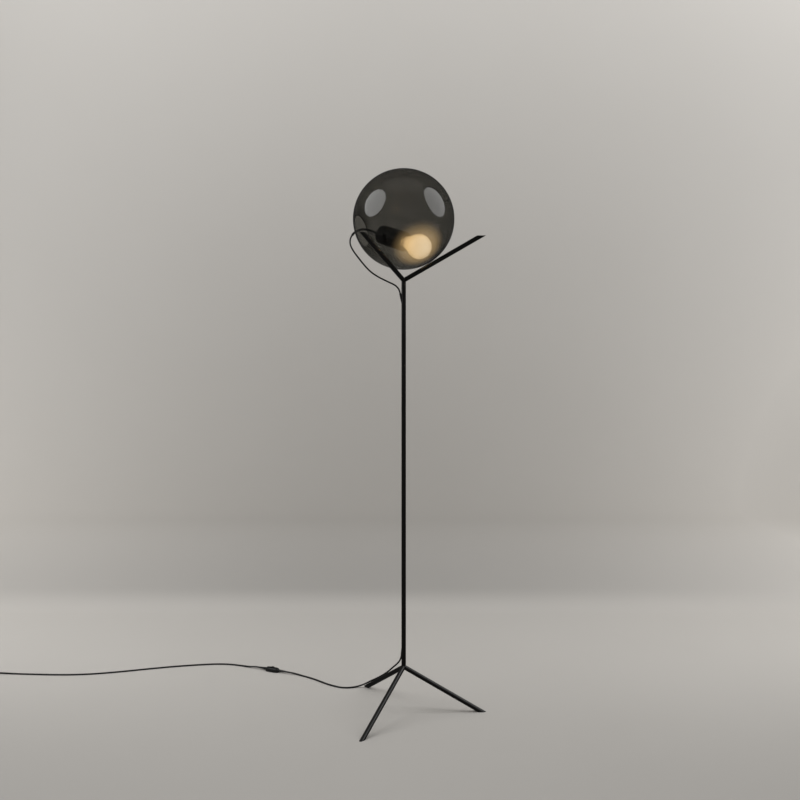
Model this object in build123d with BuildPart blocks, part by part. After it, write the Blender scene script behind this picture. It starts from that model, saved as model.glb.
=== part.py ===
from build123d import *
import math
import os

# A floor lamp: a thin steel stem that splits into a three-legged foot below and the same
# fork upside down above. A loose smoked-glass globe rests in the fork, and the lamp holder
# and its bulb lie inside the globe on their cord. Millimetres, +Z up. Every piece is made
# round the stem's axis, which stands at x = 0, y = 0, with the floor at z = 0, and is moved
# as it is written, so that the row's origin is under the middle of the lamp's own box.
# The right leg points along +X, and the viewer stands on the -Y side.

# ---- Driving sizes: the frame -----------------------------------------------------------
tube_diameter = 11.0
tube_wall = 1.0
stem_length = 944.0  # from the legs' meeting point up to the arms'
spread_angle = 30.0  # legs below the level, and arms above it
leg_reach = 190.0  # from the stem's axis to the middle of a foot
arm_reach = 190.0  # from the stem's axis to the middle of an arm's tip
limb_turns = {"right": 0.0, "back": 120.0, "front": 240.0}
sole_thickness = 1.2  # the foot plug's flange, under the tube
tip_thickness = 0.8  # the tip plug's flange, over the tube
plug_depth = 16.0
plug_play = 0.05  # round a plug in its bore

# ---- Driving sizes: the glass -----------------------------------------------------------
globe_diameter = 248.0
globe_wall = 3.0
globe_play = 0.3  # between the glass and the arms that carry it
opening_diameter = 80.0  # the hole that the lamp holder and bulb go in by
opening_turn = 159.5  # the hole looks to the back left, seen from above
opening_drop = 14.0  # and a little down

# ---- Driving sizes: the bulb and its holder ---------------------------------------------
bulb_diameter = 60.0
bulb_wall = 1.0
bulb_play = 0.3  # between the bulb and the glass that it lies on
bulb_rest_turn = -52.0  # where the bulb lies in the globe, seen from its middle
bulb_rest_drop = 49.0
lamp_turn = -39.7  # where the bulb points, seen from above
lamp_drop = 15.3
neck_radius = 13.4
shoulder_turn = 35.0  # where the bulb's ball turns into its neck
bulb_length = 105.0
cap_radius = 13.1
cap_length = 24.5
cap_ring_pitch = 3.6
cap_ring_depth = 0.8
holder_diameter = 47.6
holder_wall = 2.0
holder_length = 82.0
holder_ring_length = 6.0
holder_ring_gap = 0.5  # the groove behind the mouth ring
holder_cap_length = 22.0
holder_cap_rounding = 9.0
mouth_overlap = 4.0  # how far the bulb's neck sits inside the mouth
insert_setback = 5.0
screw_shell_wall = 0.5
fit_play = 0.1  # between nested pieces of the holder
holder_rim_rounding = 0.6
holder_edge_chamfer = 0.3
holder_gland_length = 20.0
gland_neck_radius = 5.0  # through the hole in the holder's cap
gland_collar_radius = 6.5
gland_collar_length = 4.0
gland_nut_radius = 7.5
gland_nut_length = 4.0
gland_lip = 0.2  # rubber that shows round the sleeve
insert_recess = 9.0  # room for the terminals behind the insert
contact_room = 3.0  # from the insert's floor to the bulb's contact
screw_shell_setback = 2.0
tongue_foot = 8.0
tongue_reach = 3.0
tongue_width = 5.0
tongue_thickness = 0.6
tongue_gap = 0.2  # under the bulb's contact
terminal_offset = 9.0
terminal_radius = 3.0
terminal_head = 2.4
terminal_slot = 0.8
terminal_slot_depth = 0.9
wire_stop = 3.0  # the cord ends this far behind the insert
cap_wall = 1.0
cap_plain_band = 2.0  # above the rings, and below them
cap_taper = 2.5
cap_floor = 0.6
insulator_radius = 6.0
insulator_height = 2.0
contact_radius = 2.4
contact_tip_radius = 1.6
contact_height = 0.8
mount_foot_radius = 6.0
mount_foot_height = 9.0
post_radius = 3.0
post_run = 4.0  # how far the post runs on at each side of the filaments' lower ends
filament_count = 4
filament_length = 34.0
filament_radius = 0.8
filament_ring_radius = 8.0
support_radius = 0.4

# ---- Driving sizes: the cord and what is on it ------------------------------------------
cord_diameter = 4.0
cord_play = 0.05  # round the cord in a gland
sleeve_diameter = 6.0
gland_radius = 3.0
gland_tip_radius = 2.5
gland_slant = 14.0  # from the stem's axis
gland_stand_off = 3.0  # how far out of the tube the cord's axis leaves the gland
slot_play = 0.1
top_slot_drop = 44.0  # from where the arms meet
top_slot_turn = 180.0
low_slot_rise = 39.3  # from where the legs meet
low_slot_turn = 126.0
switch_centre = (-353.1, 274.5)
switch_turn = 155.5
switch_length = 40.0
switch_width = 17.0
switch_base_height = 5.0
switch_cover_height = 5.2
switch_side_slope = 24.0
switch_wall = 1.4
switch_corner = 7.0
switch_foot_chamfer = 0.6
blade_length = 6.0
blade_inset = 0.5
blade_side_room = 1.0
blade_thickness = 1.2
rocker_length = 20.0
rocker_width = 7.4
rocker_rise = 5.4  # the ridge over the pivot
rocker_ridge_half = 2.0  # the flatter top on each side of the ridge
rocker_ridge_drop = 0.35
rocker_end_height = 1.8
rocker_end_floor = 0.2
rocker_keel_half = 3.0
rocker_keel_drop = 2.2
rocker_play = 0.35
rocker_pivot_height = 7.4
rocker_rest = 8.0  # the tilt of the half that is pressed, in degrees
rocker_pin_radius = 0.8
rocker_pin_grip = 1.1  # how far the pin's ends sit in the cover's walls
relief_length = 20.0
relief_radius = 3.5
relief_tip_radius = 2.4
relief_seat = 3.0
straight_exit = 7.5  # how far the cord runs straight out of a gland
near_exit_run = 10.0  # and out of the switch's reliefs
far_exit_run = 12.0
coil_run = 35.0  # and into the coil
coil_centre = (-1120.0, 228.0)
coil_start_turn = 87.0
coil_radius = 28.0
coil_turns = 2.375  # in each layer
climb_turns = 0.5
turn_pitch = 4.6
tie_thickness = 0.8
tie_width = 10.0
tie_corner = 2.0
tie_play = 0.2
tie_turn = 120.0
tail_length = 20.0  # from the coil to the mains plug
mains_body_length = 38.0
mains_body_width = 35.0
mains_body_thickness = 14.4
mains_relief_length = 25.0
mains_pin_radius = 2.0
mains_pin_length = 19.0
mains_pin_spacing = 19.0
mains_pin_rounding = 1.4
mains_corner = 4.0
mains_edge_rounding = 1.0
# Where each section of the plug's body is, and its width and thickness, as shares.
mains_body_sections = ((0.0, 0.42, 0.75), (0.3, 0.8, 0.95), (0.62, 1.0, 1.0), (1.0, 0.96, 1.0))


def aim(turn, rise):
    """The unit vector that points turn degrees round from +X and rise degrees up."""
    level = math.cos(math.radians(rise))
    return Vector(
        level * math.cos(math.radians(turn)),
        level * math.sin(math.radians(turn)),
        math.sin(math.radians(rise)),
    )


# ---- Worked out from them ---------------------------------------------------------------
tube_radius = tube_diameter / 2
bore_radius = tube_radius - tube_wall
up = Vector(0, 0, 1)
foot_joint = up * (leg_reach * math.tan(math.radians(spread_angle)))
fork_joint = foot_joint + up * stem_length
tip_height = fork_joint.Z + arm_reach * math.tan(math.radians(spread_angle))
globe_radius = globe_diameter / 2
inner_radius = globe_radius - globe_wall
globe_centre = fork_joint + up * (
    (globe_radius + tube_radius + globe_play) / math.cos(math.radians(spread_angle))
)
bulb_radius = bulb_diameter / 2
lamp_axis = aim(lamp_turn, -lamp_drop)
bulb_centre = globe_centre + aim(bulb_rest_turn, -bulb_rest_drop) * (
    inner_radius - bulb_radius - bulb_play
)
cord_radius = cord_diameter / 2
toe_reach = leg_reach + tube_radius / math.sin(math.radians(spread_angle))
to_row = Location(((globe_radius - toe_reach) / 2, 0, 0))


def save(piece, node):
    """Label a finished piece, move it into the row's frame and write its STEP file."""
    placed = piece.part.moved(to_row)
    placed.label = node
    export_step(placed, f"parts/{node}.step")


# ---- The frame --------------------------------------------------------------------------
def limb(joint, heading, neighbours, cut_level, kept_side):
    """A leg or an arm: a tube mitred halfway to each neighbour and cut level at its end."""
    overrun = 2 * tube_diameter
    length = abs(cut_level - joint.Z) / math.sin(math.radians(spread_angle))
    with BuildPart() as piece:
        with BuildSketch(Plane(origin=joint - heading * overrun, z_dir=heading)):
            Circle(tube_radius)
            Circle(bore_radius, mode=Mode.SUBTRACT)
        extrude(amount=length + 2 * overrun)
        for neighbour in neighbours:
            split(bisect_by=Plane(origin=joint, z_dir=heading - neighbour), keep=Keep.TOP)
        split(bisect_by=Plane.XY.offset(cut_level), keep=kept_side)
    return piece


def end_plug(end, heading, inner_level, outer_level):
    """A plug for a tube's level cut: a core in the bore and a flange between two levels."""
    low, high = sorted((inner_level, outer_level))
    with BuildPart() as flange:
        with BuildSketch(Plane(origin=end - heading * 2 * tube_diameter, z_dir=heading)):
            Circle(tube_radius)
        extrude(amount=4 * tube_diameter)
        split(bisect_by=Plane.XY.offset(low), keep=Keep.TOP)
        split(bisect_by=Plane.XY.offset(high), keep=Keep.BOTTOM)
    with BuildPart() as plug:
        with BuildSketch(Plane(origin=end - heading * plug_depth, z_dir=heading)):
            Circle(bore_radius - plug_play)
        extrude(amount=plug_depth + 2 * tube_diameter)
        outer_side = Keep.TOP if outer_level == low else Keep.BOTTOM
        split(bisect_by=Plane.XY.offset(outer_level), keep=outer_side)
        add(flange.part)
    return plug


leg_headings = {side: aim(turn, -spread_angle) for side, turn in limb_turns.items()}
arm_headings = {side: aim(turn, spread_angle) for side, turn in limb_turns.items()}


def build_limbs():
    """The three legs and three arms, each with the plug in its open end."""
    for side, heading in leg_headings.items():
        others = [other for name, other in leg_headings.items() if name != side]
        leg = limb(foot_joint, heading, others + [up], sole_thickness, Keep.TOP)
        save(leg, f"leg_{side}")
        foot = Vector(heading.X, heading.Y, 0).normalized() * leg_reach
        save(end_plug(foot, heading, sole_thickness, 0.0), f"foot_plug_{side}")
    for side, heading in arm_headings.items():
        others = [other for name, other in arm_headings.items() if name != side]
        tube_end = tip_height - tip_thickness
        arm = limb(fork_joint, heading, others + [up * -1], tube_end, Keep.BOTTOM)
        save(arm, f"arm_{side}")
        tip = Vector(heading.X, heading.Y, 0).normalized() * arm_reach + up * tip_height
        save(end_plug(tip, heading, tube_end, tip_height), f"tip_plug_{side}")


# ---- The glands that the cord leaves the stem by ----------------------------------------
class StemGland:
    """A rubber gland that slants out through the stem's wall, and the slot cut for it."""

    def __init__(self, height, turn, rise_sign):
        outward = aim(turn, 0)
        slant = math.radians(gland_slant)
        self.heading = outward * math.sin(slant) + up * (rise_sign * math.cos(slant))
        self.wall_point = outward * tube_radius + up * height
        self.outer_run = gland_stand_off / math.sin(slant)
        self.axis_run = tube_radius / math.sin(slant)  # back to the stem's own axis
        self.inner_run = (tube_radius - (bore_radius - gland_radius) / 2) / math.sin(slant)
        self.mouth = self.wall_point + self.heading * self.outer_run
        self.inner_end = self.wall_point - self.heading * self.inner_run
        self.bend = self.wall_point - self.heading * self.axis_run

    def slot(self):
        """The cutter for the slot: a round bar that stays inside the bore at the back."""
        with BuildPart() as cutter:
            with BuildSketch(Plane(origin=self.inner_end, z_dir=self.heading)):
                Circle(gland_radius + slot_play)
            extrude(amount=self.inner_run + tube_diameter)
        return cutter

    def body(self):
        """The gland: straight through the wall, then tapered to its mouth."""
        inner_plane = Plane(origin=self.inner_end, z_dir=self.heading)
        wall_plane = inner_plane.offset(self.inner_run)
        mouth_plane = wall_plane.offset(self.outer_run)
        with BuildPart() as gland:
            with BuildSketch(inner_plane):
                Circle(gland_radius)
            extrude(amount=self.inner_run)
            with BuildSketch(wall_plane):
                Circle(gland_radius)
            with BuildSketch(mouth_plane):
                Circle(gland_tip_radius)
            loft()
            with BuildSketch(inner_plane):
                Circle(cord_radius + cord_play)
            extrude(amount=self.inner_run + self.outer_run, mode=Mode.SUBTRACT)
        return gland


top_gland = StemGland(fork_joint.Z - top_slot_drop, top_slot_turn, 1)
low_gland = StemGland(foot_joint.Z + low_slot_rise, low_slot_turn, -1)


def build_stem():
    """The stem, mitred to the legs and the arms, with a slot for each gland."""
    top_slot, low_slot = top_gland.slot(), low_gland.slot()
    with BuildPart() as stem:
        with BuildSketch(Plane.XY.offset(foot_joint.Z - tube_diameter)):
            Circle(tube_radius)
            Circle(bore_radius, mode=Mode.SUBTRACT)
        extrude(amount=stem_length + 2 * tube_diameter)
        for heading in leg_headings.values():
            split(bisect_by=Plane(origin=foot_joint, z_dir=up - heading), keep=Keep.TOP)
        for heading in arm_headings.values():
            split(bisect_by=Plane(origin=fork_joint, z_dir=up * -1 - heading), keep=Keep.TOP)
        add(top_slot.part, mode=Mode.SUBTRACT)
        add(low_slot.part, mode=Mode.SUBTRACT)
    save(stem, "stem")
    save(top_gland.body(), "top_gland")
    save(low_gland.body(), "low_gland")


# ---- The globe --------------------------------------------------------------------------
def build_globe():
    """The globe: a round shell with one hole, whose edge is melted round."""
    opening_axis = aim(opening_turn, -opening_drop)
    across = opening_axis.cross(up).normalized()
    profile_plane = Plane(origin=globe_centre, x_dir=across, z_dir=across.cross(opening_axis))
    middle_radius = (globe_radius + inner_radius) / 2
    half_angle = math.asin((opening_diameter + globe_wall) / 2 / middle_radius)
    side, front = math.sin(half_angle), math.cos(half_angle)
    lip = globe_wall / 2
    with BuildPart() as globe:
        with BuildSketch(profile_plane):
            with BuildLine():
                outer = ThreePointArc(
                    (0, -globe_radius), (globe_radius, 0), (globe_radius * side, globe_radius * front)
                )
                inner = ThreePointArc(
                    (inner_radius * side, inner_radius * front), (inner_radius, 0), (0, -inner_radius)
                )
                ThreePointArc(
                    outer @ 1,
                    (middle_radius * side - lip * front, middle_radius * front + lip * side),
                    inner @ 0,
                )
                Line(inner @ 1, outer @ 0)
            make_face()
        revolve(axis=Axis(globe_centre, opening_axis))
    save(globe, "globe")


# ---- The lamp holder and bulb, all turned about one axis ---------------------------------
lamp_across = lamp_axis.cross(up).normalized()
lamp_profile = Plane(
    origin=bulb_centre, x_dir=lamp_across, z_dir=lamp_across.cross(lamp_axis)
)
lamp_line = Axis(bulb_centre, lamp_axis)
# Heights along the axis, from the middle of the bulb's ball towards its crown.
tip_end = bulb_radius - bulb_length  # the contact on the end of the bulb's cap
cap_top = tip_end + insulator_height + cap_length
mouth = cap_top + mouth_overlap
holder_back = mouth - holder_length
shell_back = holder_back + holder_cap_length
holder_radius = holder_diameter / 2
insert_radius = holder_radius - holder_wall - fit_play
insert_front = mouth - insert_setback
shell_bore = cap_radius + 2 * fit_play + screw_shell_wall  # outside of the screw shell
insert_floor = tip_end - contact_room
insert_back = shell_back + insert_recess
gland_end = holder_back - holder_gland_length
gland_tip = bulb_centre + lamp_axis * gland_end


def turned(outline):
    """A piece turned about the lamp's axis from a closed outline of (radius, height)."""
    with BuildPart() as piece:
        with BuildSketch(lamp_profile):
            with BuildLine():
                Polyline(*outline, close=True)
            make_face()
        revolve(axis=lamp_line)
    return piece


def washer(inner, outer, low, high):
    """The outline of a plain ring between two radii and two heights."""
    return [(inner, low), (outer, low), (outer, high), (inner, high)]


def build_holder():
    """The holder: mouth ring, shell, domed cap, insert, contacts and cord gland."""
    bore = holder_radius - holder_wall
    ring_back = mouth - holder_ring_length
    with BuildPart() as ring:
        add(turned(washer(bore, holder_radius, ring_back, mouth)).part)
        fillet(ring.edges().filter_by(GeomType.CIRCLE).sort_by(lamp_line)[-2:], holder_rim_rounding)
    save(ring, "holder_mouth_ring")

    shell_front = ring_back - holder_ring_gap
    with BuildPart() as shell:
        add(turned(washer(bore, holder_radius, shell_back, shell_front)).part)
        outer_rims = shell.edges().filter_by(GeomType.CIRCLE).sort_by(SortBy.RADIUS)[-2:]
        chamfer(outer_rims, holder_edge_chamfer)
    save(shell, "holder_shell")

    rounding = holder_cap_rounding
    with BuildPart() as cap:
        with BuildSketch(lamp_profile):
            with BuildLine():
                inside = rounding - holder_wall
                Polyline(
                    (bore, holder_back + rounding),
                    (bore, shell_back),
                    (holder_radius, shell_back),
                    (holder_radius, holder_back + rounding),
                )
                RadiusArc(
                    (holder_radius, holder_back + rounding),
                    (holder_radius - rounding, holder_back),
                    rounding,
                )
                Polyline(
                    (holder_radius - rounding, holder_back),
                    (gland_neck_radius + fit_play, holder_back),
                    (gland_neck_radius + fit_play, holder_back + holder_wall),
                    (bore - inside, holder_back + holder_wall),
                )
                RadiusArc(
                    (bore - inside, holder_back + holder_wall),
                    (bore, holder_back + rounding),
                    -inside,
                )
            make_face()
        revolve(axis=lamp_line)
    save(cap, "holder_cap")

    nut_back = holder_back + holder_wall
    nut_front = nut_back + gland_nut_length
    collar_back = holder_back - gland_collar_length
    wire_bore = cord_radius + cord_play
    gland = turned(
        [
            (wire_bore, gland_end),
            (sleeve_diameter / 2 + gland_lip, gland_end),
            (gland_neck_radius + gland_lip, collar_back),
            (gland_collar_radius, collar_back),
            (gland_collar_radius, holder_back),
            (gland_neck_radius, holder_back),
            (gland_neck_radius, nut_back),
            (gland_nut_radius, nut_back),
            (gland_nut_radius, nut_front),
            (wire_bore, nut_front),
        ]
    )
    save(gland, "holder_gland")

    insert = turned(
        [
            (0, insert_back),
            (insert_radius, insert_back),
            (insert_radius, insert_front),
            (shell_bore + fit_play, insert_front),
            (shell_bore + fit_play, insert_floor),
            (0, insert_floor),
        ]
    )
    save(insert, "holder_insert")
    shell_front_edge = insert_front - screw_shell_setback
    liner = turned(
        washer(shell_bore - screw_shell_wall, shell_bore, insert_floor, shell_front_edge)
    )
    save(liner, "screw_shell")

    tongue_top = tip_end - tongue_gap
    fold = tongue_reach + tongue_thickness
    with BuildPart() as tongue:
        with BuildSketch(lamp_profile):
            with BuildLine():
                Polyline(
                    (-tongue_foot, insert_floor),
                    (-tongue_reach / 2, insert_floor),
                    (tongue_reach, tongue_top - tongue_thickness),
                    (tongue_reach, tongue_top),
                    (-tongue_reach, tongue_top),
                    (-fold, insert_floor + 2 * tongue_thickness),
                    (-fold - tongue_thickness, insert_floor + tongue_thickness),
                    (-tongue_foot, insert_floor + tongue_thickness),
                    close=True,
                )
            make_face()
        extrude(amount=tongue_width / 2, both=True)
    save(tongue, "centre_contact")

    with BuildPart() as screws:
        for side in (-1, 1):
            seat = bulb_centre + lamp_axis * insert_back + lamp_across * (side * terminal_offset)
            with BuildSketch(Plane(origin=seat, z_dir=lamp_axis * -1)):
                Circle(terminal_radius)
            extrude(amount=terminal_head)
            head = seat - lamp_axis * terminal_head
            with BuildSketch(Plane(origin=head, x_dir=lamp_across, z_dir=lamp_axis)):
                Rectangle(3 * terminal_radius, terminal_slot)
            extrude(amount=terminal_slot_depth, mode=Mode.SUBTRACT)
    save(screws, "terminal_screws")

    with BuildPart() as wire:
        with BuildSketch(Plane(origin=gland_tip, z_dir=lamp_axis)):
            Circle(cord_radius)
        extrude(amount=insert_back - wire_stop - gland_end)
    save(wire, "holder_cord")


def build_bulb():
    """The bulb: glass, ringed screw cap, insulator, contact, glass stem and filaments."""
    turn = math.radians(shoulder_turn)
    drop = (-math.sin(turn), -math.cos(turn))

    def outline(ball, neck):
        """One side of the glass: a ball that runs on in one arc to the neck."""
        crown = ThreePointArc(
            (0, ball),
            (ball * math.cos(turn / 2), ball * math.sin(turn / 2)),
            (ball * math.cos(turn), -ball * math.sin(turn)),
        )
        throat = TangentArc(crown @ 1, (neck, cap_top), tangent=drop)
        return crown, throat

    with BuildPart() as glass:
        with BuildSketch(lamp_profile):
            with BuildLine():
                outer_crown, outer_throat = outline(bulb_radius, neck_radius)
                inner_crown, inner_throat = outline(
                    bulb_radius - bulb_wall, neck_radius - bulb_wall
                )
                Line(outer_crown @ 0, inner_crown @ 0)
                Line(outer_throat @ 1, inner_throat @ 1)
            make_face()
        revolve(axis=lamp_line)
    save(glass, "bulb_glass")

    cap_bottom = cap_top - cap_length
    cap_inner = cap_radius - cap_wall
    rings = int((cap_length - 2 * cap_plain_band) / cap_ring_pitch)
    crest = cap_top - cap_plain_band
    wall = [(cap_inner, cap_top), (cap_radius, cap_top), (cap_radius, crest)]
    for _ in range(rings):
        wall.append((cap_radius - cap_ring_depth, crest - cap_ring_pitch / 2))
        crest -= cap_ring_pitch
        wall.append((cap_radius, crest))
    foot = [
        (cap_radius - cap_taper, cap_bottom),
        (insulator_radius, cap_bottom),
        (insulator_radius, cap_bottom + cap_floor),
    ]
    inside = [
        (cap_inner - cap_taper + cap_floor, cap_bottom + cap_floor),
        (cap_inner, cap_bottom + cap_floor + cap_taper),
    ]
    save(turned(wall + foot + inside), "bulb_cap")
    contact_back = tip_end + contact_height
    insulator = [
        (0, contact_back),
        (contact_radius, contact_back),
        (insulator_radius, cap_bottom),
        (0, cap_bottom),
    ]
    save(turned(insulator), "bulb_insulator")
    contact = [
        (0, tip_end),
        (contact_tip_radius, tip_end),
        (contact_radius, contact_back),
        (0, contact_back),
    ]
    save(turned(contact), "bulb_contact")

    level = filament_length / 2
    post_top = post_run - level
    mount = turned(
        [
            (0, cap_top),
            (neck_radius - bulb_wall - bulb_play, cap_top),
            (mount_foot_radius, cap_top + mount_foot_height),
            (post_radius, -level - post_run),
            (post_radius, post_top),
            (0, post_top),
        ]
    )
    save(mount, "bulb_stem")

    with BuildPart() as filaments:
        for turn_number in range(filament_count):
            angle = 2 * math.pi * turn_number / filament_count
            out = lamp_across * math.cos(angle) + lamp_across.cross(lamp_axis) * math.sin(angle)
            low_end = bulb_centre + out * filament_ring_radius - lamp_axis * level
            with BuildSketch(Plane(origin=low_end, z_dir=lamp_axis)):
                Circle(filament_radius)
            extrude(amount=filament_length)
    save(filaments, "filaments")

    with BuildPart() as supports:
        hub_plane = Plane(origin=bulb_centre + lamp_axis * post_top, z_dir=lamp_axis)
        with BuildSketch(hub_plane):
            Circle(support_radius)
        extrude(amount=level + support_radius - post_top)
        for height in (-level - 2 * support_radius, level):
            plate = Plane(origin=bulb_centre + lamp_axis * height, z_dir=lamp_axis)
            with BuildSketch(plate):
                Circle(filament_ring_radius + support_radius)
                if height > 0:
                    Circle(filament_ring_radius - support_radius, mode=Mode.SUBTRACT)
                    for cross in (0, 90):
                        Rectangle(2 * filament_ring_radius, 2 * support_radius, rotation=cross)
                else:
                    Circle(post_radius + fit_play, mode=Mode.SUBTRACT)
            extrude(amount=2 * support_radius)
    save(supports, "filament_supports")


# ---- The cord ---------------------------------------------------------------------------
def bend_radii(points):
    """The radius at each corner of a route: as large as its two runs leave room for."""
    radii = []
    for before, corner, after in zip(points, points[1:], points[2:]):
        entry, leave = corner - before, after - corner
        half_turn = math.radians(entry.get_angle(leave)) / 2
        radii.append(0.45 * min(entry.length, leave.length) / math.tan(half_turn))
    return radii


def swept(points, radii, radius, bore=0.0):
    """A round bar or hose along straight runs joined by tangent arcs, and its length."""
    with BuildPart() as piece:
        with BuildLine() as route:
            FilletPolyline(*points, radius=radii)
        line = route.wires()[0]
        with BuildSketch(Plane(origin=points[0], z_dir=points[1] - points[0])):
            Circle(radius)
            if bore:
                Circle(bore, mode=Mode.SUBTRACT)
        sweep(path=line)
    section = math.pi * (radius**2 - bore**2)
    return piece, line.length, piece.part.volume / (section * line.length)


def lay_cord(node, points):
    """Make one free stretch of the cord, and print its length, volume and sharpest bend."""
    radii = bend_radii(points)
    piece, length, share = swept(points, radii, cord_radius)
    print(f"{node}: {length:.0f} mm long, volume {share:.4f} of section by length")
    print(f"{node}: radii {', '.join(f'{radius:.0f}' for radius in radii)}")
    save(piece, node)
    return radii


# From the holder's gland, out through the globe's hole, round and down to the stem.
hanging_route = [
    (-86.7, 51.7, 1179.0),
    (-97.7, 52.1, 1181.3),
    (-109.0, 48.5, 1180.0),
    (-118.0, 41.5, 1175.6),
    (-124.8, 32.0, 1169.0),
    (-130.0, 21.5, 1160.5),
    (-132.3, 12.0, 1149.3),
    (-129.6, 5.5, 1136.5),
    (-121.2, 2.0, 1122.5),
    (-108.5, 0.4, 1106.0),
    (-95.0, -0.4, 1089.2),
    (-81.0, -0.8, 1074.6),
    (-65.5, -0.6, 1064.0),
    (-49.5, -0.2, 1055.6),
    (-34.8, 0.0, 1048.6),
    (-21.5, 0.0, 1042.5),
    (-14.2, 0.0, 1035.6),
]
sleeve_corners = 6  # the sleeve ends halfway along the run after this corner
# From the stem down along the back leg, off its toe and over the floor to the switch.
floor_route = [
    (-9.8, 13.6, 119.2),
    (-17.8, 25.4, 106.4),
    (-29.4, 45.0, 90.0),
    (-40.4, 73.4, 70.4),
    (-54.9, 101.8, 51.3),
    (-69.1, 125.9, 35.3),
    (-82.9, 144.8, 22.8),
    (-95.5, 154.5, 12.6),
    (-110.5, 158.5, 4.9),
    (-126.8, 154.4, 2.3),
    (-144.0, 150.6, 2.0),
    (-162.0, 152.6, 2.0),
    (-179.0, 162.0, 2.0),
    (-197.0, 175.0, 2.0),
    (-215.0, 192.0, 2.0),
    (-233.5, 210.0, 2.0),
    (-254.0, 226.2, 2.0),
    (-272.0, 238.6, 2.0),
    (-289.5, 249.8, 3.0),
]
# From the switch over the floor to the coil.
far_route = [
    (-418.5, 301.6, 3.0),
    (-444.0, 314.0, 2.0),
    (-478.0, 324.2, 2.0),
    (-514.0, 326.0, 2.0),
    (-556.0, 320.0, 2.0),
    (-602.0, 311.4, 2.0),
    (-650.0, 299.8, 2.0),
    (-699.0, 285.6, 2.0),
    (-748.0, 270.4, 2.0),
    (-795.0, 257.6, 2.0),
    (-842.0, 248.0, 2.0),
    (-890.0, 243.6, 2.0),
    (-940.0, 244.2, 2.0),
    (-990.0, 247.2, 2.0),
    (-1040.0, 251.4, 2.0),
]

switch_axis = aim(switch_turn, 0)
switch_middle = Vector(*switch_centre, switch_base_height)
switch_exit = switch_length / 2 + relief_length
near_exit = switch_middle - switch_axis * switch_exit
far_exit = switch_middle + switch_axis * switch_exit


def build_free_cords():
    """The cord's free stretches, its sleeve at the globe's hole, and the run in the stem."""
    hanging = [gland_tip, gland_tip - lamp_axis * straight_exit]
    hanging += [Vector(*point) for point in hanging_route]
    hanging += [top_gland.mouth + top_gland.heading * straight_exit, top_gland.mouth]
    radii = lay_cord("hanging_cord", hanging)
    sleeve_points = hanging[: sleeve_corners + 1]
    sleeve_points += [(hanging[sleeve_corners] + hanging[sleeve_corners + 1]) / 2]
    bore = cord_radius + 3 * cord_play
    sleeve, _, _ = swept(sleeve_points, radii[:sleeve_corners], sleeve_diameter / 2, bore)
    save(sleeve, "cord_sleeve")

    floor = [low_gland.mouth, low_gland.mouth + low_gland.heading * straight_exit]
    floor += [Vector(*point) for point in floor_route]
    floor += [near_exit - switch_axis * near_exit_run, near_exit]
    lay_cord("lead_to_switch", floor)

    far = [far_exit, far_exit + switch_axis * far_exit_run]
    far += [Vector(*point) for point in far_route]
    far += [coil_entry - coil_heading * coil_run, coil_entry]
    lay_cord("lead_to_coil", far)

    inside = [top_gland.mouth, top_gland.bend, low_gland.bend, low_gland.mouth]
    clear_run = top_gland.axis_run - top_gland.inner_run
    turn_radius = clear_run / math.tan(math.radians(gland_slant) / 2)
    core, length, share = swept(inside, [turn_radius] * 2, cord_radius)
    print(f"stem_cord: {length:.0f} mm long, volume {share:.4f} of section by length")
    save(core, "stem_cord")


# ---- The coil of unused lead -------------------------------------------------------------
layer_low = tie_thickness + tie_play + cord_radius
inner_turn = coil_radius - turn_pitch * coil_turns
all_turns = 2 * coil_turns + climb_turns


def coil_point(turns):
    """The coil's centreline: in along the lower layer, up, and out along the upper one."""
    climbed = (turns - coil_turns) / climb_turns
    if climbed < 0:
        radius, height = coil_radius - turn_pitch * turns, layer_low
    elif climbed < 1:
        radius = inner_turn - turn_pitch * climb_turns * climbed * (1 - climbed)
        height = layer_low + turn_pitch * climbed**2 * (3 - 2 * climbed)
    else:
        radius = inner_turn + turn_pitch * (turns - coil_turns - climb_turns)
        height = layer_low + turn_pitch
    around = aim(coil_start_turn + 360 * turns, 0)
    return Vector(*coil_centre, height) + around * radius


def coil_tangent(turns):
    """The coil's direction, from a small step each way along its centreline."""
    step = 1e-4
    return (coil_point(turns + step) - coil_point(turns - step)).normalized()


coil_heading = coil_tangent(0)
coil_entry = coil_point(0) - coil_heading * cord_diameter
tail_heading = coil_tangent(all_turns)
tail_heading = Vector(tail_heading.X, tail_heading.Y, 0).normalized()
tail_end = coil_point(all_turns) + tail_heading * tail_length


def biarc(start, start_heading, end, end_heading):
    """Two arcs that leave start and reach end along the given headings."""
    span, both = end - start, start_heading + end_heading
    spare = 4 - both.dot(both)
    lean = span.dot(both)
    reach = (math.sqrt(lean**2 + spare * span.dot(span)) - lean) / spare
    knot = (start + end + (start_heading - end_heading) * reach) / 2
    first = TangentArc(start, knot, tangent=start_heading)
    TangentArc(knot, end, tangent=first % 1)


def least_self_gap(points):
    """The least gap between turns, over point pairs that lie over half a turn apart."""
    half_turn = len(points) / all_turns / 2
    least = math.inf
    for index, point in enumerate(points):
        for other in points[index + int(half_turn):]:
            least = min(least, (other - point).length)
    return least - cord_diameter


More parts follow.
